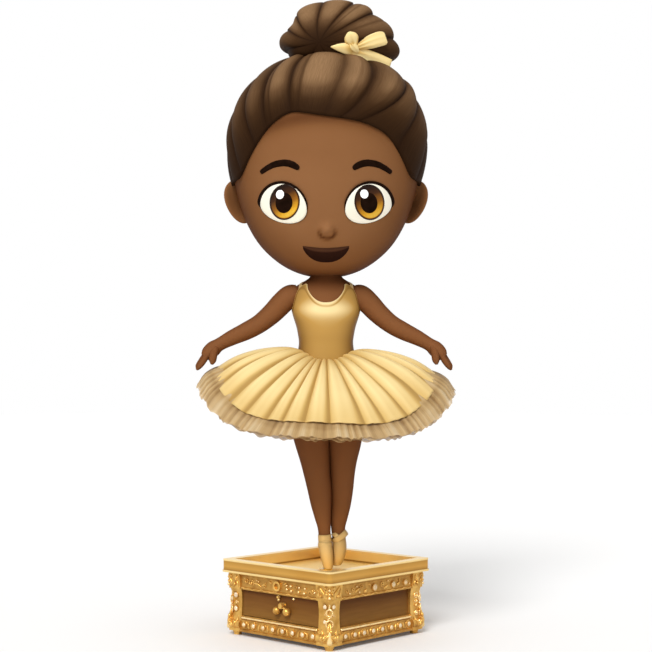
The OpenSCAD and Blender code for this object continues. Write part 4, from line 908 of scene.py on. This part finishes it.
# ---------------------------------------------------------------- bun
# A flattened ball of wound strands that fan out from a point low on its front, in the same painted
# vinyl as the cap. It is moulded apart and glued to the crown.
fan = [104, 72, 44, -4, -45, -80, -115, -155, -190, -218, -256]
b, share, number, depth = strand_columns(fan, [1] * 10, 26)
crest = np.sin(np.pi * share) ** 0.6
parting = np.where((number == 2) | (number == 1), np.exp(-((share - 0.35) / 0.05) ** 2), 0.0) * 0.5
lobe = np.exp(-((b + 26) / 22) ** 2)
left_lobe = np.exp(-((b + 161) / 13) ** 2)
slack = 0.15 * np.exp(-((b + 203) / 15) ** 2) + 0.075 * np.exp(-((b - 34) / 20) ** 2)
width = np.array([fan[k] - fan[k + 1] for k in number], dtype=float)
relief = np.where((number == 0) | (number >= 8), 0.05, 0.10)
turn = np.radians(b)
rows = 72
points, shade, uv = [], [], []
for i in range(rows + 1):
    t = math.radians(-88 + 176 * i / rows)
    shift = max(0.0, -math.sin(t)) ** 2
    swell = ((1 - relief + relief * crest - 0.012 * parting)
             * (1 + 0.17 * lobe + 0.05 * left_lobe - slack) * math.cos(t))
    x = 6.5 - 10 * shift + 32.5 * swell * np.cos(turn)
    z = 334.4 - 9 * shift + 21 * swell * np.sin(turn)
    points += list(zip(x, 0 * x + 2 + 27 * math.sin(t), z))
    # Painted shade: darker in the grooves and partings, towards the point the strands fan from and at the
    # back, and low down; the top is painted lighter.
    near = smooth_step(math.cos(t), 0.05, 0.75)
    lift = 0.30 + 0.62 * smooth_step(z, 320, 344) * (1 - 0.25 * smooth_step(x, 14, 36))
    shade += list(strand_light(share, depth, width * 0.7) * (1 - 0.5 * parting) * (0.16 + 0.84 * near) * lift)
    uv += list(zip(0 * b + t, (number + share) * 0.37))
faces = closed_faces(rows + 1, len(b))
dancer_piece("bun_coil", points, faces, hair_material, "hair_bun", shade, uv)


# ---------------------------------------------------------------- bow
# Gold satin ribbon folded into two petal loops, two tails and a knot, stiffened and pinned at the
# foot of the bun. Each row of a loop is x, y, z, half its width and half its depth.
def satin(name, light, deep, roughness=0.36, specular=0.12, middle=None):
    material, tree, shader = new_material(name, roughness, sheen=0.02, specular=specular)
    shader.inputs["Sheen Roughness"].default_value = 0.4
    stops = [(0.0, deep), (1.0, light)]
    if middle:
        stops.insert(1, (0.55, middle))
    tone = by_shade(tree, stops)
    mottled(tree, shader, 40, 2.0, (0.95, 0.94, 0.92), (1, 1, 1), tone)
    bump(tree, shader, grain(tree, 900, stretch=(1, 1, 3)), 0.10)
    return material


def smooth_path(path, steps):
    """A path's rows with as many even steps between them, eased at every row."""
    path = np.array(path, dtype=float)
    tangents = np.gradient(path, axis=0)
    rows = []
    for i in range(len(path) - 1):
        for m in range(steps):
            s = m / steps
            rows.append((2 * s**3 - 3 * s**2 + 1) * path[i] + (s**3 - 2 * s**2 + s) * tangents[i]
                        + (-2 * s**3 + 3 * s**2) * path[i + 1] + (s**3 - s**2) * tangents[i + 1])
    rows.append(path[-1])
    return np.array(rows)


bow_satin = satin("bow_satin", (0.98, 0.77, 0.36), (0.36, 0.19, 0.035), middle=(0.74, 0.49, 0.16))
bow_parts = (
    ("bow_loop_left", 2, [(15.2, -22.8, 322.8, 1.8, 1.8), (14.7, -23.4, 325, 3.0, 2),
                          (14.0, -24.6, 327.0, 4.0, 1.8), (13.2, -25.4, 329.0, 3.3, 1.4),
                          (12.5, -25.8, 330.6, 0.9, 0.5)]),
    ("bow_loop_right", 3, [(15.4, -22.2, 322.6, 1.5, 1.6), (19.5, -21.6, 324.0, 2.4, 2.0),
                           (24.4, -19.9, 326.5, 3.8, 1.9), (29.0, -17.4, 328.7, 4.2, 1.6),
                           (32.0, -15.6, 329.8, 3.9, 1.1), (33.2, -15.0, 330.2, 2.9, 0.5)]),
    ("bow_tail_left", 1, [(14.6, -22.4, 321.6, 3.0, 1.6), (10.8, -23.8, 322.0, 3.1, 1.2),
                          (6.6, -24.8, 322.4, 2.0, 0.9), (2.6, -24.9, 322.7, 0.3, 0.3)]),
    ("bow_tail_right", 2, [(13.8, -22.4, 321.2, 2.6, 1.5), (21.0, -20.0, 319.6, 3.3, 1.2),
                           (28.4, -16.2, 317.6, 3.5, 1.0), (35.8, -12.6, 315.3, 3.3, 0.8)]),
    ("bow_knot", 2, [(13.0, -23.8, 325.0, 0.8, 0.8), (14.6, -24.1, 323.4, 2.1, 1.4),
                     (16.4, -23.4, 321.6, 2.0, 1.2), (17.8, -22.4, 320.2, 0.8, 0.6)]))
for name, creases, path in bow_parts:
    rows = smooth_path(path, 7)
    rings, shade = [], []
    for m, (x, y, z, wide, deep) in enumerate(rows):
        before, after = either_side(rows, m)
        dx, dz = after[0] - before[0], after[2] - before[2]
        length = math.hypot(dx, dz) or 1
        s = m / (len(rows) - 1)
        ring = []
        for a in around(32):
            across, out = max(wide, 0.2) * math.cos(a), max(deep, 0.15) * math.sin(a)
            crease = math.cos(creases * math.pi * math.cos(a)) * (1 - s)
            ring.append((x + across * dz / length, y + out - 0.40 * crease * max(0, -math.sin(a)),
                         z - across * dx / length))
            # Painted shade: darker near the knot, in the creases and towards the edges.
            lit = 0.44 + 0.56 * smooth_step(s, 0.0, 0.45) - 0.36 * crease - 0.30 * abs(math.cos(a)) ** 6
            shade.append(max(0, min(1, lit)))
        rings.append(ring)
    ring_piece(name, rings, bow_satin, "bow", shade)


# ---------------------------------------------------------------- trunk
# Waist, chest, shoulders and neck in one oval vinyl moulding, painted in the limbs' skin colour.
# Its tables give half the width and half the depth by height.
limb_skin = skin_material("limb_skin", (0.276, 0.114, 0.043), (0.180, 0.066, 0.023), (0.064, 0.018, 0.005))
trunk_w = [(122, 20.4), (132, 20.6), (142, 18.6), (152, 15.8), (162, 14.4), (170, 15.8), (178, 18.4),
           (184, 19.2), (189, 19.4), (192, 18.6), (194.4, 15.6), (196.4, 10.8), (198.6, 8.2), (210, 8.0)]
trunk_d = [(122, 13.4), (132, 13.8), (142, 12.8), (152, 11.4), (162, 10.4), (172, 12), (180, 12),
           (187, 10.4), (192, 9.2), (196.6, 8.3), (198.6, 8.0), (210, 8.0)]
trunk_foot = 122


def lookup(z, table):
    for (z0, v0), (z1, v1) in zip(table, table[1:]):
        if z <= z1:
            return v0 + (v1 - v0) * (max(z, z0) - z0) / (z1 - z0)
    return table[-1][1]


def smooth_lookup(z, table):
    return sum(lookup(z + d, table) for d in (-1.8, -0.9, 0, 0.9, 1.8)) / 5


def trunk_point(a, z, grow=0.0):
    wide, deep = smooth_lookup(z, trunk_w) + grow, smooth_lookup(z, trunk_d) + grow
    return (wide * math.cos(a), deep * math.sin(a), z)


rings, shade = [], []
for i in range(70):
    z = trunk_foot + 84 * i / 69
    rings.append([trunk_point(a, z) for a in around(64)])
    # Painted shade: the neck is dark under the head, and the sides darker than the front.
    lit_below_neck = 0.20 + 0.60 * smooth_step(198 - z, 0, 10)
    shade += [lit_below_neck * (1 - 0.4 * abs(math.cos(a)) ** 3) for a in around(64)]
ring_piece("trunk", rings, limb_skin, "torso", shade)


# ---------------------------------------------------------------- arms and hands
# Each arm is one tapering vinyl moulding that slopes down and out from the shoulder, with a palm
# and five separate fingers. A limb's rows are x, y, z, half its thickness and half its depth.
# A limb's shade is its tone along it, painted darker towards its sides as painted shade.
def limb(name, path, tone, node, material=limb_skin, steps=6, columns=32):
    rows = smooth_path(path, steps)
    rings, shade = [], []
    for m, (x, y, z, thick, deep) in enumerate(rows):
        lit = tone(m / (len(rows) - 1))
        before, after = either_side(rows, m)
        tangent = (Vector(after[:3]) - Vector(before[:3])).normalized()
        across = tangent.cross(Vector((0, 1, 0))).normalized()
        out = across.cross(tangent).normalized()
        middle = Vector((x, y, z))
        ring = []
        for a in around(columns):
            ring.append(tuple(middle + across * (thick * math.cos(a)) + out * (deep * math.sin(a))))
            shade.append(lit * (1 - 0.60 * abs(math.cos(a)) ** 3))
        rings.append(ring)
    ring_piece(name, rings, material, node, shade)


arm_path = [(15.5, 0, 189.6, 4.6, 5.0), (20, 0, 188, 6.1, 6.0), (24.8, 0, 183.6, 6.3, 6.2),
            (30.2, 0, 178, 5.9, 5.8), (37.2, -0.4, 172.2, 5.3, 5.2), (44.6, -1.4, 168.0, 5.0, 4.9),
            (52.6, -2.6, 164.2, 4.3, 4.2), (59.2, -3.4, 160.6, 3.7, 3.7), (62.6, -3.8, 158.2, 4.4, 4.4),
            (65.6, -4.0, 155.4, 4.1, 4.8), (67.4, -4.0, 153.4, 2.7, 4.0)]
fingers = [
    [(65.6, -7.0, 155.4, 1.7, 1.5), (67.6, -7.5, 151.8, 1.75, 1.5), (69.8, -7.4, 148.6, 1.5, 1.3),
     (70.9, -7.2, 147.0, 0.6, 0.6)],
    [(66.2, -4.9, 155.2, 1.8, 1.5), (68.4, -5.2, 151.3, 1.8, 1.5), (70.8, -5.1, 147.9, 1.5, 1.35),
     (72.0, -5.0, 146.3, 0.6, 0.6)],
    [(66.8, -2.6, 155.4, 1.8, 1.5), (69.2, -2.7, 151.8, 1.75, 1.5), (71.4, -2.6, 148.6, 1.45, 1.3),
     (72.3, -2.5, 147.2, 0.6, 0.6)],
    [(66.9, -0.4, 155.9, 1.6, 1.4), (69.2, -0.3, 152.6, 1.5, 1.3), (71.0, -0.2, 150.0, 1.2, 1.1),
     (71.7, -0.2, 148.9, 0.5, 0.5)],
    [(61.4, -6.0, 158.6, 2.2, 2.0), (62.4, -7.8, 155.0, 2.3, 1.9), (62.8, -8.6, 151.4, 2.0, 1.6),
     (63.2, -8.8, 149.2, 0.7, 0.7)]]
right_shorter = 0.03


def on_arm(side, path):
    """A path on one side; the right arm's reach is a little shorter than the left's."""
    return [(side * x - (right_shorter * x if side > 0 else 0), *rest) for x, *rest in path]


for side, name in both_sides:
    arm = "%s_arm" % name
    # The arms' tone, a little darker towards the hands and darker again on the fingers, is painted shade.
    limb("arm_%s" % name, on_arm(side, arm_path), lambda s: 0.86 - 0.16 * s, arm)
    for k, path in enumerate(fingers):
        limb("finger_%s_%d" % (name, k), on_arm(side, path), lambda s: 0.62 + 0.1 * s, arm,
             steps=5, columns=16)


# ---------------------------------------------------------------- legs
# Two slim vinyl legs, painted like the arms and set into the trunk. The left one stands over the
# shaft that turns the dancer; the right foot is held a little to the side, behind and above.
legs = {
    "left": [(-0.6, 0.6, 50, 3.2, 3.2), (-1, 0.5, 58, 3.6, 3.6), (-1.7, 0.6, 64, 4.6, 4.6),
             (-2.7, 0.8, 72, 5.9, 5.9), (-3.6, 0.8, 80, 6.8, 6.8), (-4.9, 0.3, 88, 7.4, 7.4),
             (-6, -0.2, 96, 8.4, 8.4), (-7.4, -0.2, 106, 10, 10), (-8.8, 0, 115, 10.9, 10.9),
             (-9.8, 0, 122, 11, 11)],
    "right": [(7.2, 4.6, 50, 3.4, 3.3), (6.8, 4.4, 58, 4.0, 3.8), (7.2, 4.2, 64, 5.0, 4.7),
              (8.3, 3.8, 72, 5.8, 5.6), (8.8, 3.2, 80, 6.5, 6.4), (9.1, 2.4, 88, 7, 7),
              (9.5, 1.6, 96, 7.9, 7.9), (10.3, 0.9, 106, 9.5, 9.5), (10.6, 0.4, 115, 10.6, 10.6),
              (10.8, 0, 122, 11, 11)]}
# Painted shade: the legs are lightest at the feet and dark at the top, under the skirt.
for name, path in legs.items():
    limb("leg_%s" % name, path, lambda s: 1.0 - 0.75 * s ** 2.5, "%s_leg" % name)


# ---------------------------------------------------------------- pointe shoes and ribbons
# Satin pointe shoes with a flat block at the toe and a drawn vamp, glued over the feet. Satin
# ribbons are closed round each ankle as bands, one over the other on the left, crossed on the right.
shoe_satin = satin("shoe_satin", (0.88, 0.62, 0.26), (0.28, 0.145, 0.032), 0.34)
shoes = {
    "left": [(1.2, -0.4, 35.6, 2.0, 2.3), (1.2, -0.4, 36.1, 2.5, 2.8), (1.1, -0.5, 38.0, 3.0, 3.5),
             (0.7, -0.7, 41, 3.4, 4.6), (0.1, -0.7, 45, 3.8, 5.4), (-0.4, 0, 48.5, 3.7, 5.4),
             (-0.6, 0.6, 52, 3.3, 4.2), (-0.75, 0.6, 54.2, 3.3, 3.7)],
    "right": [(6.1, 5, 36.9, 1.9, 2.3), (6.1, 5, 37.4, 2.4, 2.8), (6.3, 4.9, 39.0, 3.0, 3.4),
              (6.9, 4.6, 41.8, 3.6, 4.6), (7.3, 4.4, 45.4, 4.1, 5.2), (7.5, 4.6, 48.8, 4.0, 5.2),
              (7.6, 4.6, 52, 3.5, 4.3), (7.55, 4.6, 54.3, 3.4, 3.7)]}
# Painted light: the right shoe, further back, is painted darker than the left, and each is lightest down the
# middle of its vamp and darker at toe and ankle.
shoe_light = {"left": 1.0, "right": 0.86}
for name, path in shoes.items():
    def vamp_light(s):
        return shoe_light[name] * (0.45 + 0.55 * math.sin(math.pi * min(1, s * 1.05)) ** 0.6)

    limb("shoe_%s_upper" % name, path, vamp_light, "%s_shoe" % name, shoe_satin, columns=40)

# Each ribbon: its middle, half its width and depth round the ankle, its two tilts in degrees and
# half the band's height.
ribbons = (("ribbon_left_high", (-0.7, 0.6, 52.5), 3.5, 4.3, 3, -3, 2.4),
           ("ribbon_left_low", (-0.5, 0.4, 48.9), 3.75, 5.4, -3, 3, 1.6),
           ("ribbon_right_high", (7.5, 4.5, 52.9), 4.9, 4.8, 4, -36, 1.7),
           ("ribbon_right_low", (6.6, 4.5, 52.9), 3.6, 4.5, -4, 36, 1.3))
rows, columns = 9, 64
for name, middle, wide, deep, tilt_x, tilt_y, band in ribbons:
    tilt = Matrix.Rotation(math.radians(tilt_x), 3, "X") @ Matrix.Rotation(math.radians(tilt_y), 3, "Y")
    rings, shade = [], []
    for i in range(rows):
        v = -1 + 2 * i / (rows - 1)
        swell = 0.28 * (1 - v ** 4)
        ring = []
        for a in around(columns):
            p = tilt @ Vector(((wide + swell) * math.cos(a), (deep + swell) * math.sin(a), band * v))
            ring.append((middle[0] + p.x, middle[1] + p.y, middle[2] + p.z))
            # Painted shade: darker along the band's edges and towards its sides, with a faint ripple of
            # light.
            lit = 0.42 + 0.50 * (1 - abs(v) ** 5) + 0.05 * math.sin(6 * a)
            shade.append(lit * (1 - 0.50 * abs(math.cos(a)) ** 4))
        rings.append(ring)
    ring_piece(name, rings, shoe_satin, "shoe_ribbons", shade, capped=False)


# ---------------------------------------------------------------- leotard and straps
# Stretched gold satin over the trunk, with a bound scoop neck that is higher at the shoulders, and
# two shoulder straps sewn in at the front and back of the neck.
leotard_satin = satin("leotard_satin", (0.98, 0.78, 0.40), (0.195, 0.086, 0.014), 0.38, specular=0.10,
                      middle=(0.56, 0.325, 0.085))
neck_table = [(0, 183.5), (0.14, 183.7), (0.28, 184.9), (0.40, 187.2), (0.50, 190.2), (0.60, 193.8),
              (0.76, 194.4), (0.80, 191.4), (0.88, 186.4), (0.96, 181.8), (1.0, 180.4)]


def neck_height(a):
    return sum(lookup(abs(math.cos(a + d)), neck_table) for d in (-0.06, -0.03, 0, 0.03, 0.06)) / 5


columns, rows = 360, 60
points, shade = [], []
for i in range(rows + 1):
    for a in around(columns):
        top = neck_height(a)
        z = trunk_foot + (top - trunk_foot) * i / rows
        binding = math.exp(-((top - z) / 0.9) ** 2)
        points.append(trunk_point(a, z, 0.62 + 0.30 * binding - (0.5 if i == rows else 0)))
        # Painted light: a highlight band below the neckline, brightest down front and back, with painted
        # shade on the sides and towards the waist; the binding is lighter and a dark line runs just below it.
        middle_light = 0.25 + 0.75 * math.exp(-(math.cos(a) / 0.75) ** 2)
        lit = math.exp(-((z - 180.0) / 4.6) ** 2) * middle_light * 0.52
        side_dark = 0.52 * abs(math.cos(a)) ** 3.2 + 0.10 * smooth_step(172 - z, 0, 14)
        seam = 0.40 * (1 - binding) * math.exp(-((top - z - 1.9) / 0.7) ** 2)
        shade.append(max(0, min(1, 0.56 + lit - side_dark + 0.45 * binding - seam)))
faces = grid_faces(rows + 1, columns)
dancer_piece("leotard_cloth", points, faces, leotard_satin, "leotard", shade)

strap_steps = 20
for side, name in both_sides:
    path = []
    for k in range(strap_steps + 1):
        s = -1 + 2 * k / strap_steps
        path.append((side * (12.9 - 0.5 * (1 - s * s)), -7.2 * s, 195.0 - 5.2 * abs(s) ** 2.2 - 0.2))
    rings, shade = [], []
    for k, (x, y, z) in enumerate(path):
        before, after = either_side(path, k)
        ty, tz = after[1] - before[1], after[2] - before[2]
        length = math.hypot(ty, tz)
        ny, nz = -tz / length, ty / length
        if nz < 0:
            ny, nz = -ny, -nz
        # Painted shade: each strap is lighter on its upper face and darker towards its ends.
        from_top = abs(k - 10) / 10
        sink = 0.3 - 1.3 * max(0.0, from_top - 0.75) / 0.25
        ring = []
        for a in around(16):
            across, out = 2.7 * math.cos(a), 0.8 * math.sin(a)
            ring.append((x + across, y + ny * (out + sink), z + nz * (out + sink) - side * across * 0.34))
            shade.append((0.75 + 0.2 * math.sin(a)) * (1 - 0.4 * from_top ** 2))
        rings.append(ring)
    ring_piece("strap_%s" % name, rings, leotard_satin, "leotard", shade)


# ---------------------------------------------------------------- satin skirt
# A round of gold satin gathered to the waist in thirty soft knife pleats that open towards the hem.
# It is sewn to the waist over the net. Both lie saddle-shaped: high at the hips, low front and back.
def facing(a):
    """0 at the hips and 1 at the front and back."""
    s = abs(math.sin(a))
    return s * s * (3 - 2 * s)


def skirt_height(r, a):
    drop = 20.3 + (24.2 if math.sin(a) < 0 else 19) * facing(a)
    return 155.8 - drop * (r / 72) ** (3.2 - 2 * facing(a)) - 0.025 * r * math.cos(a)


waist_w, waist_d = smooth_lookup(157, trunk_w) + 0.5, smooth_lookup(157, trunk_d) + 0.5


def waist_reach(a):
    return 1 / math.hypot(math.cos(a) / waist_w, math.sin(a) / waist_d)


skirt_satin = satin("skirt_satin", (0.96, 0.76, 0.37), (0.36, 0.20, 0.048), 0.42, middle=(0.68, 0.45, 0.15))
pleats = 30
columns, rows = 720, 46
points, shade, uv = [], [], []
for i in range(rows + 1):
    s = i / rows
    for a in around(columns):
        uneven = 0.22 * math.sin(3 * a) + 0.13 * math.sin(7 * a + 1) + 0.07 * math.sin(16 * a)
        phase = pleats * a / (2 * math.pi) + uneven
        saw = phase % 1
        fold = math.sin(math.pi * saw ** 0.66) ** 0.8
        minor = 0.5 + 0.5 * math.cos(2 * math.pi * (phase * 3 + 0.2))
        deep = 0.35 + 2.2 * math.sin(math.pi * min(1, 0.12 + 0.80 * s)) + 0.15
        hem = 64 + 0.5 * math.sin(5 * a + 0.6) + 0.5 * fold * s
        r = waist_reach(a) - 0.4 + (hem - waist_reach(a) + 0.4) * s
        z = skirt_height(r, a) + 2.6 - 0.55 * deep + deep * fold + 0.18 * s * minor
        z -= 2.2 * math.exp(-s / 0.05) + 0.9 * smooth_step(s, 0.7, 1.0)
        points.append((r * math.cos(a), r * math.sin(a), z))
        # Painted shade: darker in the valley of each pleat and where the folds sink, towards the waist and
        # towards the hem.
        crease = 1 - 0.75 * smooth_step(saw, 0.66 + 0.14 * (1 - s), 0.90) * (1 - smooth_step(saw, 0.96, 1.0))
        shade.append(min(1, crease * (0.62 + 0.38 * fold) * (0.62 + 0.38 * smooth_step(s, 0.0, 0.35))
                         * (1 - 0.26 * smooth_step(s, 0.62, 1.0)) * (0.93 + 0.07 * minor)))
        uv.append((s, phase))
faces = grid_faces(rows + 1, columns)
overlay = dancer_piece("skirt_satin_layer", points, faces, skirt_satin, "tutu_overlay",
                       shade, uv)
thick = overlay.modifiers.new("cloth thickness", "SOLIDIFY")
thick.thickness = 0.00035


# ---------------------------------------------------------------- net skirt
# Three ruffled rounds of fine net, crimped at the hem and thin enough to glow, gathered into
# the same waist seam. Each rests on the one below, and the lowest is a little shorter.
net_material, tree, shader = new_material("net_cloth", 0.75, sheen=0.08, specular=0.1)
net_light_and_shade = by_shade(tree, [(0.0, (0.33, 0.19, 0.07)), (0.5, (0.63, 0.43, 0.20)), (1.0, (0.86, 0.70, 0.45))])
streaks = mottled(tree, shader, 6, 3.0, (0.86, 0.84, 0.82), (1.0, 1.0, 1.0), net_light_and_shade,
                  stretch=(0.8, 3.0, 1), place="UV")
cover = ramp(tree, streaks, [(0.3, (0.70, 0.70, 0.70)), (0.7, (0.84, 0.84, 0.84))])
tree.links.new(cover, shader.inputs["Alpha"])


def net_layer(name, start, hem_r, lift, ruffles, depth, seed):
    columns, rows = 1080, 30
    points, shade, uv = [], [], []
    for i in range(rows + 1):
        s = i / rows
        for a in around(columns):
            wander = 1.4 * math.sin(9 * a + seed)
            wave = math.sin(ruffles * a + seed + wander + 0.9 * math.sin(23 * a))
            wave *= 0.7 + 0.3 * math.sin(13 * a + seed)
            slow = math.sin(17 * a + seed * 2) * 0.6 + math.sin(29 * a + seed) * 0.4
            inner = max(waist_reach(a) - 0.3, start)
            hem = hem_r + 0.45 * math.sin(31 * a + seed) + 0.35 * slow
            r = inner + (hem - inner) * s
            puff = (1 - facing(a)) * 3.6 * smooth_step(r, 50, 67) * (1 - 0.75 * smooth_step(r, 68, 72.2))
            z = skirt_height(r, a) + lift + puff + depth * s ** 2 * (0.45 * wave + 0.55 * slow)
            points.append((r * math.cos(a), r * math.sin(a), z))
            # Painted light: lighter on the ruffles' crests and darker in their troughs towards the hem, with
            # a painted shadow under the satin's hem.
            hem_shadow = 0.26 * math.exp(-((r - 64.8) / 1.8) ** 2)
            shade.append(min(1, max(0, 0.50 + 0.20 * wave * s + 0.24 * slow * s - hem_shadow)))
            uv.append((s, ruffles * a / 6.283))
    faces = grid_faces(rows + 1, columns)
    return dancer_piece(name, points, faces, net_material, "tutu_net", shade, uv)


net_top = net_layer("net_top", 0, 72.0, 0.3, 96, 0.9, 0.3)
net_middle = net_layer("net_middle", 30, 71.2, -1.2, 84, 1.0, 1.7)
net_bottom = net_layer("net_bottom", 24, 70.0, -2.9, 72, 1.1, 3.1)


# ---------------------------------------------------------------- table and light
# The box stands on a matt white table in a white room. One broad lamp stands high on the left of
# the corner that is looked at, and a fainter one hangs overhead. Lengths are metres from here on.
floor_glow = 0.05

bpy.ops.mesh.primitive_plane_add(size=8)
floor = bpy.context.object
floor.name = "floor"
floor_material, tree, shader = new_material("studio_floor", 0.9)
shader.inputs["Base Color"].default_value = (0.93, 0.93, 0.93, 1)
shader.inputs["Emission Color"].default_value = (1, 1, 1, 1)
rays = tree.nodes.new("ShaderNodeLightPath")
faint = tree.nodes.new("ShaderNodeMath")
faint.operation = "MULTIPLY"
faint.inputs[1].default_value = floor_glow
tree.links.new(rays.outputs["Is Camera Ray"], faint.inputs[0])
tree.links.new(faint.outputs["Value"], shader.inputs["Emission Strength"])
floor.data.materials.append(floor_material)

# The room lights things softly; looked at, mirrored or seen through glass, it is plain white.
world = bpy.data.worlds.new("studio")
world.use_nodes = True
tree = world.node_tree
soft = tree.nodes["Background"]
soft.inputs["Color"].default_value = (1.0, 0.985, 0.96, 1)
soft.inputs["Strength"].default_value = 0.36
backdrop = tree.nodes.new("ShaderNodeBackground")
backdrop.inputs["Color"].default_value = (1, 1, 1, 1)
backdrop.inputs["Strength"].default_value = 1.0
rays = tree.nodes.new("ShaderNodeLightPath")
looked_at = rays.outputs["Is Camera Ray"]
for kind in ("Is Glossy Ray", "Is Transmission Ray"):
    either = tree.nodes.new("ShaderNodeMath")
    either.operation = "MAXIMUM"
    tree.links.new(looked_at, either.inputs[0])
    tree.links.new(rays.outputs[kind], either.inputs[1])
    looked_at = either.outputs["Value"]
room = tree.nodes.new("ShaderNodeMixShader")
tree.links.new(looked_at, room.inputs["Fac"])
tree.links.new(soft.outputs["Background"], room.inputs[1])
tree.links.new(backdrop.outputs["Background"], room.inputs[2])
tree.links.new(room.outputs["Shader"], tree.nodes["World Output"].inputs["Surface"])
scene = bpy.context.scene
scene.world = world


def soft_sun(name, turn, elevation, softness, strength):
    """A lamp some degrees round from the dancer's front and some degrees up."""
    lamp = bpy.data.lights.new(name, "SUN")
    lamp.energy = strength
    lamp.angle = math.radians(softness)
    holder = bpy.data.objects.new(name, lamp)
    angle, up = dancer_turn + math.radians(turn), math.radians(elevation)
    holder.location = (math.cos(up) * math.sin(angle), -math.cos(up) * math.cos(angle), math.sin(up))
    holder.rotation_euler = (-holder.location).to_track_quat("-Z", "Y").to_euler()
    bpy.context.collection.objects.link(holder)


soft_sun("key", -16, 40, 24, 2.2)
soft_sun("top", 0, 86, 40, 0.7)


# ---------------------------------------------------------------- camera
# It stands in front of the dancer, facing the corner between drawer and side panel. It is level
# with the skirt and looks slightly up.
camera_distance = 0.780
camera_height = 0.142
aim_height = 0.1709
camera_data = bpy.data.cameras.new("camera")
camera_data.angle = math.radians(26.35)
camera = bpy.data.objects.new("camera", camera_data)
camera.location = (camera_distance * math.sin(dancer_turn), -camera_distance * math.cos(dancer_turn),
                   camera_height)
aim = Vector((0, 0, aim_height)) - camera.location
camera.rotation_euler = aim.to_track_quat("-Z", "Y").to_euler()
bpy.context.collection.objects.link(camera)
scene.camera = camera
scene.view_settings.view_transform = "Standard"
